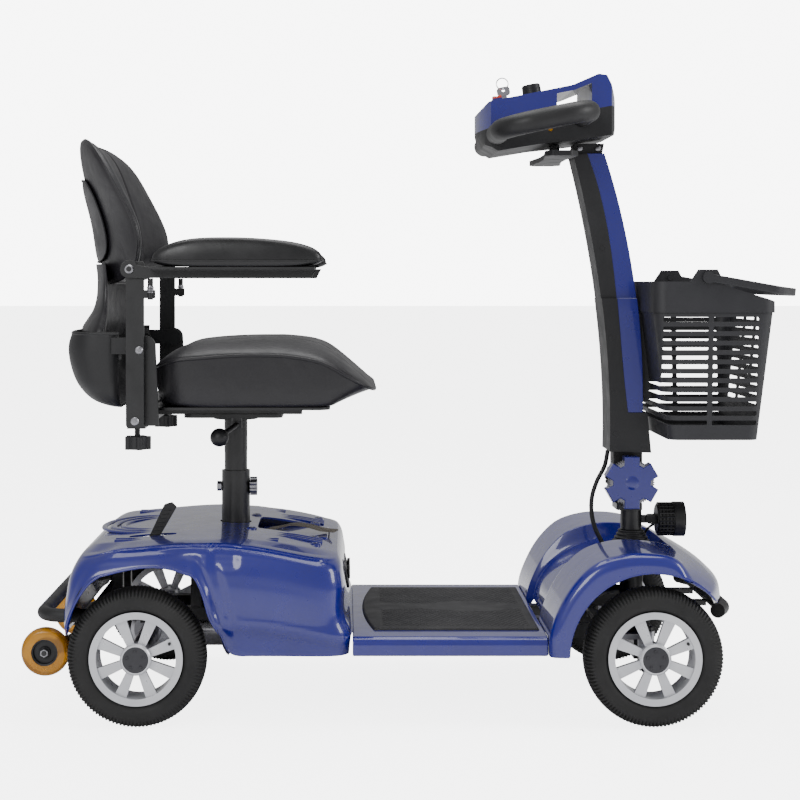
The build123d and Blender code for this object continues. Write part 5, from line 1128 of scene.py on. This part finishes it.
# %% Floor, light and camera
def sum_of_rays(tree, rays, total):
    """The base value plus each kind of ray's own gain, for a strength that depends on who is looking."""
    for ray, gain in rays:
        node = tree.nodes.new("ShaderNodeMath")
        node.operation = "MULTIPLY_ADD"
        tree.links.new(ray, node.inputs[0])
        node.inputs[1].default_value = gain
        if isinstance(total, float):
            node.inputs[2].default_value = total
        else:
            tree.links.new(total, node.inputs[2])
        total = node.outputs[0]
    return total


floor_mesh = bpy.data.meshes.new("studio_floor")
floor_mesh.from_pydata([(-40, -40, 0), (40, -40, 0), (40, 40, 0), (-40, 40, 0)], [], [(0, 1, 2, 3)])
floor = bpy.data.objects.new("studio_floor", floor_mesh)
paper = bpy.data.materials.new("studio_paper")
paper.use_nodes = True
sockets = paper.node_tree.nodes["Principled BSDF"].inputs
sockets["Base Color"].default_value = (0.9, 0.9, 0.91, 1)
sockets["Roughness"].default_value = 0.7
sockets["Emission Color"].default_value = (1, 1, 1, 1)
seen_by = paper.node_tree.nodes.new("ShaderNodeLightPath").outputs
camera_glow = sum_of_rays(paper.node_tree, [(seen_by["Is Camera Ray"], 4.5)], 0.0)
paper.node_tree.links.new(camera_glow, sockets["Emission Strength"])
floor_mesh.materials.append(paper)
bpy.context.scene.collection.objects.link(floor)

world = bpy.data.worlds.new("studio")
world.use_nodes = True
sky = world.node_tree.nodes["Background"].inputs
sky["Color"].default_value = (1, 1, 1, 1)
# the backdrop is bright to the eye, softer as a light, and dim where it mirrors in the paint
seen_by = world.node_tree.nodes.new("ShaderNodeLightPath").outputs
rays = [(seen_by["Is Camera Ray"], 7.0), (seen_by["Is Glossy Ray"], -0.3)]
world.node_tree.links.new(sum_of_rays(world.node_tree, rays, 0.75), sky["Strength"])
bpy.context.scene.world = world
LAMPS = {
    "top_box": ((0.1, 0.3, 3.0), (2.6, 2.2), 60),
    "front_box": ((-1.6, -3.0, 1.9), (1.6, 1.4), 45),
    "side_box": ((3.0, -0.8, 1.6), (1.2, 1.6), 40),
}
for name, (place, size, power) in LAMPS.items():
    light = bpy.data.lights.new(name, "AREA")
    light.shape = "RECTANGLE"
    light.size, light.size_y = size
    light.energy = power
    lamp_object = bpy.data.objects.new(name, light)
    toward = np.array([0, 0, 0.4]) - np.array(place)
    flat = math.hypot(toward[0], toward[1])
    lamp_object.location = place
    lamp_object.rotation_euler = (math.atan2(flat, -toward[2]), 0, math.atan2(-toward[0], toward[1]))
    bpy.context.scene.collection.objects.link(lamp_object)

lens_data = bpy.data.cameras.new("catalogue")
lens_data.lens, lens_data.sensor_width = 77.7, 36.0
lens_data.shift_x, lens_data.shift_y = 0.06875, -0.15
camera = bpy.data.objects.new("catalogue", lens_data)
camera.location = (-0.102, -2.7, 0.6403)
camera.rotation_euler = (math.pi / 2, 0, 0)
bpy.context.scene.collection.objects.link(camera)
bpy.context.scene.camera = camera
print("camera at", tuple(round(c, 3) for c in camera.location))

# %% Measure and finish
shown = sum(1 for o in bpy.context.scene.objects if o.type == "MESH" and not o.hide_render)
print("shown meshes", shown)
